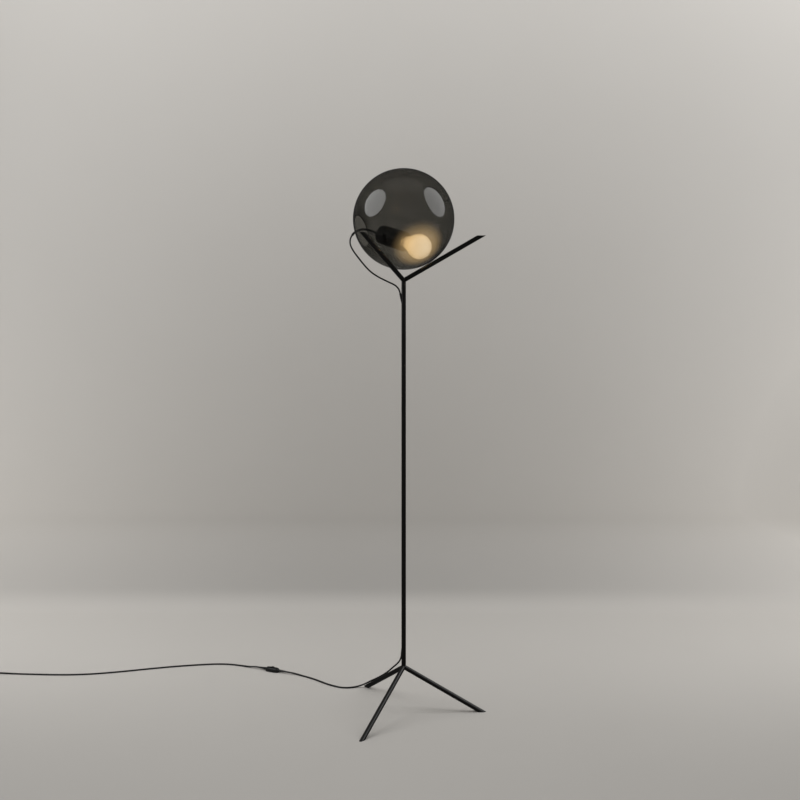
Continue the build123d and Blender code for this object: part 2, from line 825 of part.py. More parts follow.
def build_coil():
    """The coil, the tie round it and the mains plug on the cord's end."""
    quarter_steps = round(4 * all_turns)
    marks = [all_turns * step / quarter_steps for step in range(quarter_steps + 1)]
    with BuildPart() as coil:
        with BuildLine() as route:
            Line(coil_entry, coil_point(0))
            for begin, finish in zip(marks, marks[1:]):
                biarc(
                    coil_point(begin), coil_tangent(begin), coil_point(finish), coil_tangent(finish)
                )
            Line(coil_point(all_turns), tail_end)
        line = route.wires()[0]
        with BuildSketch(Plane(origin=coil_entry, z_dir=coil_heading)):
            Circle(cord_radius)
        sweep(path=line)
    samples = [coil_point(all_turns * step / 360) for step in range(361)]
    volume_share = coil.part.volume / (math.pi * cord_radius**2 * line.length)
    print(f"cord_coil: {line.length:.0f} mm long, volume {volume_share:.4f} of section by length")
    print(f"cord_coil: least gap between turns {least_self_gap(samples):.2f} mm")
    save(coil, "cord_coil")

    out = aim(tie_turn, 0)
    inner_side = math.sqrt((inner_turn - cord_radius) ** 2 - (tie_width / 2) ** 2) - 3 * tie_play
    outer_side = coil_radius + cord_radius + tie_play
    bundle_height = turn_pitch + cord_diameter + 2 * tie_play
    bundle_middle = Vector(*coil_centre, tie_thickness + bundle_height / 2)
    bundle_middle += out * ((inner_side + outer_side) / 2)
    with BuildPart() as tie:
        with BuildSketch(Plane(origin=bundle_middle, x_dir=out, z_dir=out.cross(up))):
            width = outer_side - inner_side
            RectangleRounded(
                width + 2 * tie_thickness, bundle_height + 2 * tie_thickness, tie_corner
            )
            RectangleRounded(
                width, bundle_height, tie_corner - tie_thickness, mode=Mode.SUBTRACT
            )
        extrude(amount=tie_width / 2, both=True)
    save(tie, "cord_tie")


def build_mains_plug():
    """The flat two-pin mains plug: tapered relief, waisted body and two round pins."""
    relief_plane = Plane(origin=tail_end, z_dir=tail_heading, x_dir=tail_heading.cross(up))
    with BuildPart() as relief:
        with BuildSketch(relief_plane):
            Circle(relief_tip_radius)
        with BuildSketch(relief_plane.offset(mains_relief_length)):
            Circle(mains_body_thickness / 3)
        loft()
    save(relief, "mains_plug_relief")

    body_start = relief_plane.offset(mains_relief_length)
    with BuildPart() as body:
        for share, width, thickness in mains_body_sections:
            with BuildSketch(body_start.offset(share * mains_body_length)):
                RectangleRounded(
                    mains_body_width * width, mains_body_thickness * thickness, mains_corner
                )
        loft()
        pin_face = body.faces().sort_by(Axis(tail_end, tail_heading))[-1]
        fillet(pin_face.edges(), mains_edge_rounding)
    save(body, "mains_plug_body")

    with BuildPart() as pins:
        with BuildSketch(body_start.offset(mains_body_length)):
            with GridLocations(mains_pin_spacing, 0, 2, 1):
                Circle(mains_pin_radius)
        extrude(amount=mains_pin_length)
        pin_ends = pins.faces().sort_by(Axis(tail_end, tail_heading))[-2:]
        fillet(pin_ends.edges(), mains_pin_rounding)
    save(pins, "mains_plug_pins")


# ---- The switch on the cord ---------------------------------------------------------------
switch_floor = Plane(
    origin=Vector(*switch_centre, 0), x_dir=switch_axis, z_dir=(0, 0, 1)
)
switch_side = Plane(
    origin=Vector(*switch_centre, 0), x_dir=switch_axis, z_dir=switch_axis.cross(up)
)
across_switch = up.cross(switch_axis)


def relief_hole():
    """The cutter for the half-round seats of both strain reliefs."""
    with BuildPart() as cutter:
        with BuildSketch(Plane(origin=switch_middle, z_dir=switch_axis)):
            Circle(relief_radius + fit_play)
        extrude(amount=switch_length, both=True)
        with BuildSketch(switch_floor):
            Rectangle(switch_length - 2 * relief_seat, switch_width)
        extrude(amount=switch_base_height * 3, mode=Mode.SUBTRACT)
    return cutter


def build_switch():
    """The in-line switch: two shells, a ridged rocker on a pin, contacts and reliefs."""
    cavity_length = switch_length - 2 * relief_seat - 2 * switch_wall
    cavity_width = switch_width - 4 * switch_wall
    pin_half_length = cavity_width / 2 + rocker_pin_grip
    seam = switch_floor.offset(switch_base_height)
    with BuildPart() as base:
        with BuildSketch(switch_floor):
            RectangleRounded(switch_length, switch_width, switch_corner)
        extrude(amount=switch_base_height)
        chamfer(base.edges().group_by(Axis.Z)[0], switch_foot_chamfer)
        with BuildSketch(switch_floor.offset(switch_wall)):
            Rectangle(cavity_length, cavity_width)
        extrude(amount=switch_base_height, mode=Mode.SUBTRACT)
        add(relief_hole().part, mode=Mode.SUBTRACT)
    save(base, "switch_base")

    with BuildPart() as cover:
        with BuildSketch(seam):
            RectangleRounded(switch_length, switch_width, switch_corner)
        extrude(amount=switch_cover_height, taper=switch_side_slope)
        with BuildSketch(seam):
            Rectangle(cavity_length, cavity_width)
        extrude(amount=switch_cover_height - switch_wall, mode=Mode.SUBTRACT)
        with BuildSketch(seam):
            Rectangle(
                rocker_length + 5 * rocker_play, rocker_width + 2 * rocker_play
            )
        extrude(amount=switch_cover_height * 2, mode=Mode.SUBTRACT)
        pivot = Plane(
            origin=Vector(*switch_centre, rocker_pivot_height), z_dir=across_switch
        )
        with BuildSketch(pivot):
            Circle(rocker_pin_radius + cord_play)
        extrude(amount=pin_half_length + cord_play, both=True, mode=Mode.SUBTRACT)
        add(relief_hole().part, mode=Mode.SUBTRACT)
    save(cover, "switch_cover")

    pivot_point = Vector(*switch_centre, rocker_pivot_height)
    half = rocker_length / 2
    pressed = Plane(
        origin=pivot_point,
        x_dir=switch_axis.rotate(Axis((0, 0, 0), across_switch), -rocker_rest),
        z_dir=across_switch * -1,
    )
    with BuildPart() as rocker:
        with BuildSketch(pressed):
            with BuildLine():
                Polyline(
                    (-half, rocker_end_height),
                    (-rocker_ridge_half, rocker_rise - rocker_ridge_drop),
                    (0, rocker_rise),
                    (rocker_ridge_half, rocker_rise - rocker_ridge_drop),
                    (half, rocker_end_height),
                    (half, rocker_end_floor),
                    (rocker_keel_half, -rocker_keel_drop),
                    (-rocker_keel_half, -rocker_keel_drop),
                    (-half, rocker_end_floor),
                    close=True,
                )
            make_face()
            Circle(rocker_pin_radius + cord_play, mode=Mode.SUBTRACT)
        extrude(amount=rocker_width / 2, both=True)
    save(rocker, "switch_rocker")

    with BuildPart() as pin:
        with BuildSketch(pivot):
            Circle(rocker_pin_radius)
        extrude(amount=pin_half_length, both=True)
    save(pin, "rocker_pin")

    with BuildPart() as contacts:
        for side in (-1, 1):
            blade = switch_floor.offset(switch_wall)
            with BuildSketch(blade):
                with Locations((side * ((cavity_length - blade_length) / 2 - blade_inset), 0)):
                    Rectangle(blade_length, cavity_width - 2 * blade_side_room)
            extrude(amount=blade_thickness)
    save(contacts, "switch_contacts")

    reliefs = {"near": (near_exit, 1), "far": (far_exit, -1)}
    for end, (tip, sign) in reliefs.items():
        inward = Plane(origin=tip, z_dir=switch_axis * sign)
        with BuildPart() as relief:
            with BuildSketch(inward):
                Circle(relief_tip_radius)
            with BuildSketch(inward.offset(relief_length)):
                Circle(relief_radius)
            loft()
            with BuildSketch(inward.offset(relief_length)):
                Circle(relief_radius)
            extrude(amount=relief_seat)
        save(relief, f"switch_relief_{end}")


os.makedirs("parts", exist_ok=True)
build_stem()
build_limbs()
build_globe()
build_holder()
build_bulb()
build_free_cords()
build_coil()
build_mains_plug()
build_switch()
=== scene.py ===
"""Dress the globe floor lamp: its painted steel frame, smoked glass, glowing bulb and cord.

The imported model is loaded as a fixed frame. Its steel, rubber and metal pieces keep their
shapes and get finishes. The glass, the bulb, the cord with its sleeve, tie, switch and plug
are surfaces worked out here and laid where the model has theirs. Everything is in metres in
the row's frame: +Z up, the right leg along +X, the viewer on the -Y side.
"""

from __future__ import annotations

import logging
import math
from dataclasses import dataclass, field
from enum import Enum
from functools import cache

import bpy
import numpy as np
from mathutils import Matrix


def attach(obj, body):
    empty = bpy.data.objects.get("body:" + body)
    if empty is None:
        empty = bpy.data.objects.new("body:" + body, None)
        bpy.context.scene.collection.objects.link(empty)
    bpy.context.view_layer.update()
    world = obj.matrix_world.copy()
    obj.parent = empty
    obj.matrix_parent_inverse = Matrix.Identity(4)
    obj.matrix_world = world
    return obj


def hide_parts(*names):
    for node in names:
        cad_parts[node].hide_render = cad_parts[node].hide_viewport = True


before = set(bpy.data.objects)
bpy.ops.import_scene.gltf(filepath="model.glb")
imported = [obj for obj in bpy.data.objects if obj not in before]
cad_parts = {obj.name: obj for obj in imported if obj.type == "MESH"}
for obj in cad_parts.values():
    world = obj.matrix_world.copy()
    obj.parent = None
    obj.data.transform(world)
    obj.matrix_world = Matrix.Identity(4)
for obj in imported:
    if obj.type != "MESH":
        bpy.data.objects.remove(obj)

Node = bpy.types.Node
Piece = bpy.types.Object
Socket = bpy.types.NodeSocket
Place = tuple[float, float, float]

LOG = logging.getLogger("globe_floor_lamp")
STEM_X = -0.0385
UP = np.array([0.0, 0.0, 1.0])
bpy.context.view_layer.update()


# ---- Shader trees ----
class Level:
    """A number socket of a shader tree, on which Python's operators add Math nodes."""

    def __init__(self, board: "Board", socket: Socket) -> None:
        """Hold the socket and the board that owns it."""
        self.board = board
        self.socket = socket

    def _math(self, operation: str, *others: "Level | float") -> "Level":
        """One Math node's result, from its operation and its inputs in order."""
        node = self.board.node("ShaderNodeMath", {"operation": operation}, dict(enumerate(others)))
        return Level(self.board, node.outputs[0])

    def __add__(self, other: "Level | float") -> "Level":
        """Add a value."""
        return self._math("ADD", self, other)

    def __radd__(self, other: float) -> "Level":
        """Add to a number."""
        return self._math("ADD", other, self)

    def __sub__(self, other: "Level | float") -> "Level":
        """Take a value away."""
        return self._math("SUBTRACT", self, other)

    def __rsub__(self, other: float) -> "Level":
        """Take from a number."""
        return self._math("SUBTRACT", other, self)

    def __mul__(self, other: "Level | float") -> "Level":
        """Multiply by a value."""
        return self._math("MULTIPLY", self, other)

    def __rmul__(self, other: float) -> "Level":
        """Multiply a number."""
        return self._math("MULTIPLY", other, self)

    def largest(self, other: "Level | float") -> "Level":
        """The larger of the value and another."""
        return self._math("MAXIMUM", self, other)

    def ramp(self, low: float, high: float) -> "Level":
        """A smooth step.

        Args:
            low: The value at which the step starts from 0.
            high: The value at which it reaches 1.

        Returns:
            The step's value.
        """
        node = self.board.node(
            "ShaderNodeMapRange",
            {"interpolation_type": "SMOOTHSTEP"},
            {"Value": self, "From Min": low, "From Max": high},
        )
        return Level(self.board, node.outputs[0])


class Board:
    """One shader tree, with the ways that this scene adds nodes to it."""

    def __init__(self, tree: bpy.types.NodeTree) -> None:
        """Start from an empty tree."""
        self.tree = tree
        self.tree.nodes.clear()

    def node(
        self,
        kind: str,
        settings: dict[str, object] | None = None,
        inputs: dict[str | int, object] | None = None,
    ) -> Node:
        """Add a node, give it its settings, and then the values or links of its sockets.

        Args:
            kind: The node's type.
            settings: Its properties, such as a Math node's operation.
            inputs: A value, a Level or a socket for each input, by name or by number.

        Returns:
            The node.
        """
        node = self.tree.nodes.new(kind)
        for name, value in (settings or {}).items():
            setattr(node, name, value)
        for name, value in (inputs or {}).items():
            socket = node.inputs[name]
            value = value.socket if isinstance(value, Level) else value
            if isinstance(value, Socket):
                self.tree.links.new(value, socket)
            else:
                socket.default_value = value
        return node

    def place(self) -> Socket:
        """The point's place on the piece, in metres."""
        return self.node("ShaderNodeTexCoord").outputs["Object"]

    def away(self, centre: tuple) -> Level:
        """The point's distance from a place.

        Args:
            centre: The place.

        Returns:
            The distance in metres.
        """
        ends = {0: self.place(), 1: centre}
        node = self.node("ShaderNodeVectorMath", {"operation": "DISTANCE"}, ends)
        return Level(self, node.outputs["Value"])

    def axes(self) -> tuple[Level, ...]:
        """The point's place on the piece as three values."""
        parts = self.node("ShaderNodeSeparateXYZ", None, {0: self.place()})
        return tuple(Level(self, parts.outputs[axis]) for axis in "XYZ")

    def noise(self, scale: float, detail: float = 2.0, roughness: float = 0.5) -> Level:
        """A noise over the piece's own place, about 0.5 on average, by features to a metre."""
        look = {"Scale": scale, "Detail": detail, "Roughness": roughness, "Vector": self.place()}
        return Level(self, self.node("ShaderNodeTexNoise", None, look).outputs[0])

    def mixed(self, factor: Level, first: tuple, second: tuple) -> Socket:
        """The first colour or socket where the factor is 0, the second where it is 1."""
        node = self.node("ShaderNodeMix", {"data_type": "RGBA"}, {0: factor, 6: first, 7: second})
        return node.outputs[2]

    def bump(self, height: Level, depth: float, strength: float) -> Socket:
        """The normal tilted by a height of 0 to 1, where 1 stands this deep in metres."""
        inputs = {"Height": height, "Distance": depth, "Strength": strength}
        return self.node("ShaderNodeBump", None, inputs).outputs[0]

    def surface(self, constants: dict[str, object], inputs: dict[str, object]) -> Node:
        """A Principled surface, from what is the same all over and what changes over it."""
        return self.node("ShaderNodeBsdfPrincipled", None, {**constants, **inputs})

    def output(
        self,
        shader: Node,
        inside: Node | None = None,
        kind: str = "ShaderNodeOutputMaterial",
    ) -> None:
        """Join the shaders to the tree's output.

        Args:
            shader: The surface's shader.
            inside: The shader of what the surface encloses, if any.
            kind: The output node's type.
        """
        inputs = {"Surface": shader.outputs[0]}
        if inside:
            inputs["Volume"] = inside.outputs[0]
        self.node(kind, None, inputs)


def grey(value: float) -> tuple:
    """A neutral colour."""
    return (value, value, value, 1.0)


# ---- Finishes ----
@dataclass(frozen=True)
class Finish:
    """A finish, which builds its material once.

    Attributes:
        name: The material's name.
        slot: The record's material slot that it belongs to; not used.
    """

    name: str
    slot: str

    @cache
    def material(self) -> bpy.types.Material:
        """The material, made the first time that it is asked for.

        Returns:
            The material.
        """
        made = bpy.data.materials.new(f"{self.name}_surface")
        made.use_nodes = True
        board = Board(made.node_tree)
        board.output(self.shader(board), self.inside(board))
        return made

    def shader(self, board: Board) -> Node:
        """The finish's shader node."""
        raise NotImplementedError

    def inside(self, board: Board) -> Node | None:
        """What the surface encloses: nothing, unless a finish says otherwise."""
        return None

    def dress(self, piece: Piece) -> None:
        """Give a new piece this finish.

        Args:
            piece: The piece.
        """
        piece.data.materials.clear()
        piece.data.materials.append(self.material())

    def coat(self, *nodes: str) -> None:
        """Give the model's own nodes this finish.

        Args:
            nodes: Their names.
        """
        for name in nodes:
            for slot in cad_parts[name].material_slots:
                slot.material = self.material()


@dataclass(frozen=True)
class PaintedSteel(Finish):
    """Satin paint over drawn tube, with its orange peel and a little dust."""

    colour: tuple = (0.0045, 0.0038, 0.0032, 1.0)
    dusty: tuple = (0.016, 0.014, 0.012, 1.0)
    roughness: float = 0.31
    peel_scale: float = 620.0
    peel_depth: float = 0.00004

    def shader(self, board: Board) -> Node:
        """The shader: dust by soft patches, roughness by finer ones, and the peel as bump.

        Args:
            board: The material's board.

        Returns:
            The shader node.
        """
        patches = board.noise(9.0, 4.0, 0.6).ramp(0.45, 0.75)
        specks = board.noise(900.0, 1.0).ramp(0.70, 0.78)
        dust = (patches * 0.35 + specks * 0.5) * 0.5
        roughness = self.roughness + board.noise(60.0, 3.0) * 0.06 + dust * 0.10
        peel = board.noise(self.peel_scale, 2.0)
        return board.surface(
            {"IOR": 1.5, "Specular IOR Level": 0.62, "Coat Roughness": 0.22},
            {
                "Base Color": board.mixed(dust, self.colour, self.dusty),
                "Roughness": roughness,
                "Coat Weight": patches * 0.06,
                "Normal": board.bump(peel, self.peel_depth, 0.6),
            },
        )


@dataclass(frozen=True)
class Moulded(Finish):
    """Moulded plastic or rubber: a fine spark-etched grain and soft changes of gloss."""

    colour: tuple = grey(0.012)
    worn: tuple = grey(0.03)
    roughness: float = 0.45
    spread: float = 0.12
    grain_scale: float = 2600.0
    grain_depth: float = 0.00003

    def shader(self, board: Board) -> Node:
        """The shader: two noises for wear and gloss, and the grain as bump.

        Args:
            board: The material's board.

        Returns:
            The shader node.
        """
        wear = board.noise(45.0, 3.0, 0.6).ramp(0.5, 0.8)
        gloss = board.noise(140.0, 2.0)
        return board.surface(
            {"Specular IOR Level": 0.5},
            {
                "Base Color": board.mixed(wear, self.colour, self.worn),
                "Roughness": self.roughness - self.spread / 2 + gloss * self.spread,
                "Normal": board.bump(board.noise(self.grain_scale, 1.0), self.grain_depth, 0.7),
            },
        )


@dataclass(frozen=True)
class BareMetal(Finish):
    """Satin metal, slightly tarnished in patches."""

    colour: tuple = grey(0.55)
    tarnish: tuple = (0.35, 0.34, 0.33, 1.0)
    roughness: float = 0.28

    def shader(self, board: Board) -> Node:
        """The shader: tarnish by a noise, with a fine grain as bump.

        Args:
            board: The material's board.

        Returns:
            The shader node.
        """
        patches = board.noise(160.0, 4.0, 0.6).ramp(0.4, 0.75)
        return board.surface(
            {"Metallic": 1.0},
            {
                "Base Color": board.mixed(patches, self.colour, self.tarnish),
                "Roughness": self.roughness + patches * 0.15,
                "Normal": board.bump(board.noise(3200.0, 1.0), 0.00001, 0.5),
            },
        )


@dataclass(frozen=True)
class Patch:
    """A round soft-edged patch of a surface.

    Attributes:
        centre: Its middle, in the row's frame.
        core: How far from there it is full, in metres.
        reach: How far from there it ends.
        colour: The light that leaves it.
    """

    centre: tuple
    core: float
    reach: float
    colour: tuple = grey(0.0)

    def cover(self, board: Board) -> Level:
        """1 in the patch, 0 outside it, by the distance from its middle."""
        return 1 - board.away(self.centre).ramp(self.core, self.reach)


@dataclass(frozen=True)
class ClearGlass(Finish):
    """Clear glass that soaks up light by its thickness, with a thin film on its face.

    Attributes:
        depth_tint: The colour that the light keeps in the glass.
        depth_density: How fast the rest is soaked up, per metre.
        near_tint: The deeper tint of the side towards -Y.
        fade: How far each side of Y = 0 that tint takes to fade out.
        film: How much of the face the film covers.
        film_tint: The film's own colour.
        frosted: Where the film covers more.
        frost: How much more.
        lit: Patches of painted light, such as a bulb's glow or the floor's reflection, given off
            as emission, each laid over the one before.
        ripple_depth: The height of the blown glass's slow waves, in metres.
    """

    depth_tint: tuple = (0.065, 0.055, 0.015, 1.0)
    depth_density: float = 400.0
    near_tint: tuple = (0.35, 0.345, 0.325, 1.0)
    fade: float = 0.03
    film: float = 0.002
    film_tint: tuple = (0.62, 0.54, 0.42, 1.0)
    frosted: Patch | None = None
    frost: float = 0.60
    lit: tuple[Patch, ...] = ()
    ripple_depth: float = 0.0002

    def shader(self, board: Board) -> Node:
        """The shader: glass that gives off painted light in patches, mixed with a translucent film
        that covers more in its frosted patch.

        Args:
            board: The material's board.

        Returns:
            The shader node.
        """
        ripple = board.noise(9.0, 1.0)
        wiped = board.noise(16.0, 5.0, 0.65)
        far = board.axes()[1].ramp(-self.fade, self.fade)
        # Painted light: the patches' colours, given off as emission, stand in for light that falls
        # on the glass or is mirrored in it.
        light = grey(0.0)
        for patch in self.lit:
            light = board.mixed(patch.cover(board), light, patch.colour)
        glass = board.surface(
            {"Transmission Weight": 1.0, "IOR": 1.5, "Emission Strength": 1.0},
            {
                "Base Color": board.mixed(far, self.near_tint, grey(1.0)),
                "Roughness": wiped.ramp(0.55, 0.85) * 0.008,
                "Normal": board.bump(ripple, self.ripple_depth, 0.5),
                "Emission Color": light,
            },
        )
        film = board.node("ShaderNodeBsdfTranslucent", None, {"Color": self.film_tint})
        amount = (0.7 + wiped * 0.6) * self.film
        if self.frosted:
            amount = amount + self.frosted.cover(board) * self.frost
        return board.node(
            "ShaderNodeMixShader", None, {0: amount, 1: glass.outputs[0], 2: film.outputs[0]}
        )

    def inside(self, board: Board) -> Node:
        """The glass itself, which soaks up light.

        Args:
            board: The material's board.

        Returns:
            The shader node.
        """
        return board.node(
            "ShaderNodeVolumeAbsorption",
            None,
            {"Color": self.depth_tint, "Density": self.depth_density},
        )


@dataclass(frozen=True)
class Glow(Finish):
    """A lit surface: warm at its edge and paler where the filaments stand close behind.

    Attributes:
        warm: The colour away from the filaments.
        pale: The colour beside them.
        strength: The light's strength.
        centre: The middle of the pale part.
        reach: How far it spreads, in metres.
    """

    warm: tuple = (1.0, 0.74, 0.44, 1.0)
    pale: tuple = (1.0, 0.98, 0.96, 1.0)
    strength: float = 3.9
    centre: tuple = (0.0, 0.0, 0.0)
    reach: float = 0.03

    def shader(self, board: Board) -> Node:
        """The shader: the emission colour by the distance from the pale part's middle.

        Args:
            board: The material's board.

        Returns:
            The shader node.
        """
        share = board.away(self.centre).ramp(0.3 * self.reach, self.reach)
        mottle = board.noise(120.0, 2.0) * 0.12
        return board.surface(
            {"Base Color": self.pale, "Roughness": 0.5, "Emission Strength": self.strength},
            {"Emission Color": board.mixed(share + mottle, self.pale, self.warm)},
        )


STEEL = PaintedSteel("frame_paint", "frame_steel")
END_RUBBER = Moulded("end_rubber", "end_rubber", roughness=0.7, grain_scale=1800.0)
HOLDER_BLACK = Moulded(
    "holder_black", "holder_black", grey(0.006), (0.012, 0.012, 0.011, 1.0), 0.38
)
INSERT_DARK = Moulded(
    "insert_dark", "insert_dark", (0.020, 0.017, 0.014, 1.0), (0.035, 0.030, 0.025, 1.0), 0.35
)
BRASS = BareMetal(
    "contact_brass", "contact_brass", (0.78, 0.57, 0.27, 1.0), (0.50, 0.34, 0.15, 1.0), 0.25
)
BRIGHT_STEEL = BareMetal("contact_steel", "contact_steel")
FILAMENT = Glow(
    "filament_glow", "filament_glow", (1.0, 0.72, 0.38, 1.0), (1.0, 0.80, 0.5, 1.0), 30.0
)
CORD_BLACK = Moulded(
    "cord_black", "cord_black", grey(0.010), (0.022, 0.021, 0.020, 1.0), 0.5
)
SLEEVE_BLACK = Moulded(
    "sleeve_black", "sleeve_black", grey(0.006), grey(0.012), 0.4
)
SWITCH_BLACK = Moulded(
    "switch_black", "switch_black", (0.014, 0.014, 0.0135, 1.0), (0.026, 0.025, 0.024, 1.0), 0.42
)
ROCKER_BLACK = Moulded("rocker_black", "switch_black", roughness=0.3, grain_depth=0.00001)
PLUG_BLACK = Moulded(
    "plug_black", "plug_black", grey(0.013), (0.024, 0.024, 0.023, 1.0), 0.5
)


# ---- Surfaces ----
def aim(turn: float, rise: float) -> np.ndarray:
    """A unit vector.

    Args:
        turn: Degrees round from +X.
        rise: Degrees up from the level.

    Returns:
        The vector.
    """
    turn, rise = math.radians(turn), math.radians(rise)
    return np.array(
        [math.cos(rise) * math.cos(turn), math.cos(rise) * math.sin(turn), math.sin(rise)]
    )


def round_turn(count: int) -> np.ndarray:
    """Angles evenly round a whole turn."""
    return np.linspace(0, 2 * math.pi, count, endpoint=False)


def squircle(angle: np.ndarray, power: np.ndarray | float) -> np.ndarray:
    """How far a superellipse of half sizes 1 reaches: (|cos|^n + |sin|^n)^(-1/n)."""
    return (np.abs(np.cos(angle)) ** power + np.abs(np.sin(angle)) ** power) ** (-1 / power)


def eased(share: np.ndarray) -> np.ndarray:
    """A smooth step from 0 to 1: 3s^2 - 2s^3."""
    return share**2 * (3 - 2 * share)


def ribbed(share: np.ndarray, count: int) -> np.ndarray:
    """Flat-topped ribs along a share of 0 to 1: a cosine cut off at both sides, from -1 to 0."""
    return np.clip(np.cos(share * 2 * math.pi * count), -0.4, 0.4) / 0.8 - 0.5


def unit(vectors: np.ndarray) -> np.ndarray:
    """Vectors cut to length 1, along the last axis."""
    return vectors / np.linalg.norm(vectors, axis=-1, keepdims=True)


def linked(name: str, data: bpy.types.ID) -> Piece:
    """Put a new object in the scene.

    Args:
        name: Its name.
        data: Its mesh, curve, light or camera.

    Returns:
        The object.
    """
    piece = bpy.data.objects.new(name, data)
    bpy.context.scene.collection.objects.link(piece)
    return piece


class Skin:
    """A surface on a grid of rows and columns, whose columns run round and join up."""

    def __init__(self, grid: np.ndarray, looped: bool = False) -> None:
        """Take the points by row and column, and whether the last row joins the first."""
        self.grid = grid
        self.looped = looped

    def piece(self, name: str, sharp: float = 40.0) -> Piece:
        """Make the mesh object.

        The quads join each point to the next in its row and in its column. An end gets a fan
        of triangles to its middle. A shell that has less than no volume is turned round.

        Args:
            name: The object's name.
            sharp: The angle, in degrees, past which an edge stays sharp.

        Returns:
            The object, linked to the scene.
        """
        rows, columns, _ = self.grid.shape
        points = self.grid.reshape(-1, 3)
        index = np.arange(rows * columns).reshape(rows, columns)
        following = np.roll(index, -1, axis=1)
        last = rows if self.looped else rows - 1
        above, beside = np.roll(index, -1, axis=0)[:last], np.roll(following, -1, axis=0)[:last]
        quads = np.stack([index[:last], following[:last], beside, above], axis=-1).reshape(-1, 4)
        faces = quads.tolist()
        triangles = [quads[:, [0, 1, 2]], quads[:, [0, 2, 3]]]
        for row, step in () if self.looped else ((0, -1), (-1, 1)):
            middle = np.full(columns, len(points))
            points = np.vstack([points, self.grid[row].mean(axis=0)])
            pair = (index[row], following[row])[::step]
            triangles.append(np.stack([*pair, middle], axis=-1))
            faces += triangles[-1].tolist()
        corners = np.concatenate(triangles)
        a, b, c = (points[corners[:, k]] for k in range(3))
        if np.einsum("ij,ij->i", a, np.cross(b, c)).sum() < 0:
            faces = [face[::-1] for face in faces]
        mesh = bpy.data.meshes.new(name)
        mesh.from_pydata(points.tolist(), [], faces)
        mesh.update()
        mesh.polygons.foreach_set("use_smooth", np.ones(len(mesh.polygons), dtype=bool))
        mesh.set_sharp_from_angle(angle=math.radians(sharp))
        return linked(name, mesh)


def turned(profile: np.ndarray, origin: np.ndarray, axis: np.ndarray, around: int) -> np.ndarray:
    """A surface of revolution: each (radius, height) goes round the axis in a circle.

    Args:
        profile: Radii and heights, (rows, 2).
        origin: The point of height 0 on the axis.
        axis: The axis's unit vector.
        around: The number of columns.

    Returns:
        The grid of points.
    """
    side = unit(np.cross(axis, UP if abs(axis[2]) < 0.9 else [1.0, 0.0, 0.0]))
    front = np.cross(axis, side)
    angle = round_turn(around)[:, None]
    ring = np.cos(angle) * side + np.sin(angle) * front
    radii, heights = profile[:, 0, None, None], profile[:, 1, None, None]
    return origin + radii * ring[None] + heights * axis


def along(path: np.ndarray, radii: np.ndarray, around: int, side: np.ndarray) -> np.ndarray:
    """A tube: circles about a path's points, square to it.

    Args:
        path: The points of the middle line.
        radii: The tube's radius at each.
        around: The number of columns.
        side: A vector that the path never runs along.

    Returns:
        The grid of points.
    """
    heading = unit(np.gradient(path, axis=0))
    across = unit(np.cross(heading, side))
    over = np.cross(across, heading)
    angle = round_turn(around)[None, :, None]
    ring = np.cos(angle) * across[:, None] + np.sin(angle) * over[:, None]
    return path[:, None] + np.asarray(radii)[:, None, None] * ring


def rounded(
    halves: np.ndarray, powers: np.ndarray, centres: np.ndarray, axes: tuple, around: int
) -> np.ndarray:
    """A stack of superellipses: |x/a|^n + |y/b|^n = 1 at each station.

    Args:
        halves: Each station's half width and half thickness, (rows, 2).
        powers: Each station's n, where 2 is an ellipse and more is squarer.
        centres: Each station's middle.
        axes: The unit vectors of the width and the thickness.
        around: The number of columns.

    Returns:
        The grid of points.
    """
    angle = round_turn(around)[None]
    reach = squircle(angle, np.asarray(powers, dtype=float)[:, None])
    wide = np.asarray(halves)[:, 0, None] * np.cos(angle) * reach
    thick = np.asarray(halves)[:, 1, None] * np.sin(angle) * reach
    return centres[:, None] + wide[..., None] * axes[0] + thick[..., None] * axes[1]


class Body(Enum):
    """The bodies that new pieces move with."""

    LAMP = "lamp"
    GLOBE = "globe"


def own(
    piece: Piece, finish: Finish, *nodes: str, body: Body = Body.LAMP
) -> Piece:
    """Finish a piece, put it on its body, and let it stand for the model's nodes.

    Args:
        piece: The new piece.
        finish: Its finish.
        nodes: The nodes that it replaces.
        body: The body that it moves with.

    Returns:
        The piece.
    """
    finish.dress(piece)
    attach(piece, body.value)
    if nodes:
        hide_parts(*nodes)
    return piece


# ---- The frame ----
@dataclass
class SteelFrame:
    """The stem, legs and arms with their end plugs and glands, as the model has them."""

    sides: tuple[str, ...] = ("right", "back", "front")

    def build(self) -> None:
        """Paint the tubes and dress the rubber ends."""
        STEEL.coat("stem")
        END_RUBBER.coat("top_gland", "low_gland")
        for side in self.sides:
            STEEL.coat(f"leg_{side}", f"arm_{side}")
            END_RUBBER.coat(f"foot_plug_{side}", f"tip_plug_{side}")
        LOG.info("frame: stem, %d legs, %d arms", len(self.sides), len(self.sides))


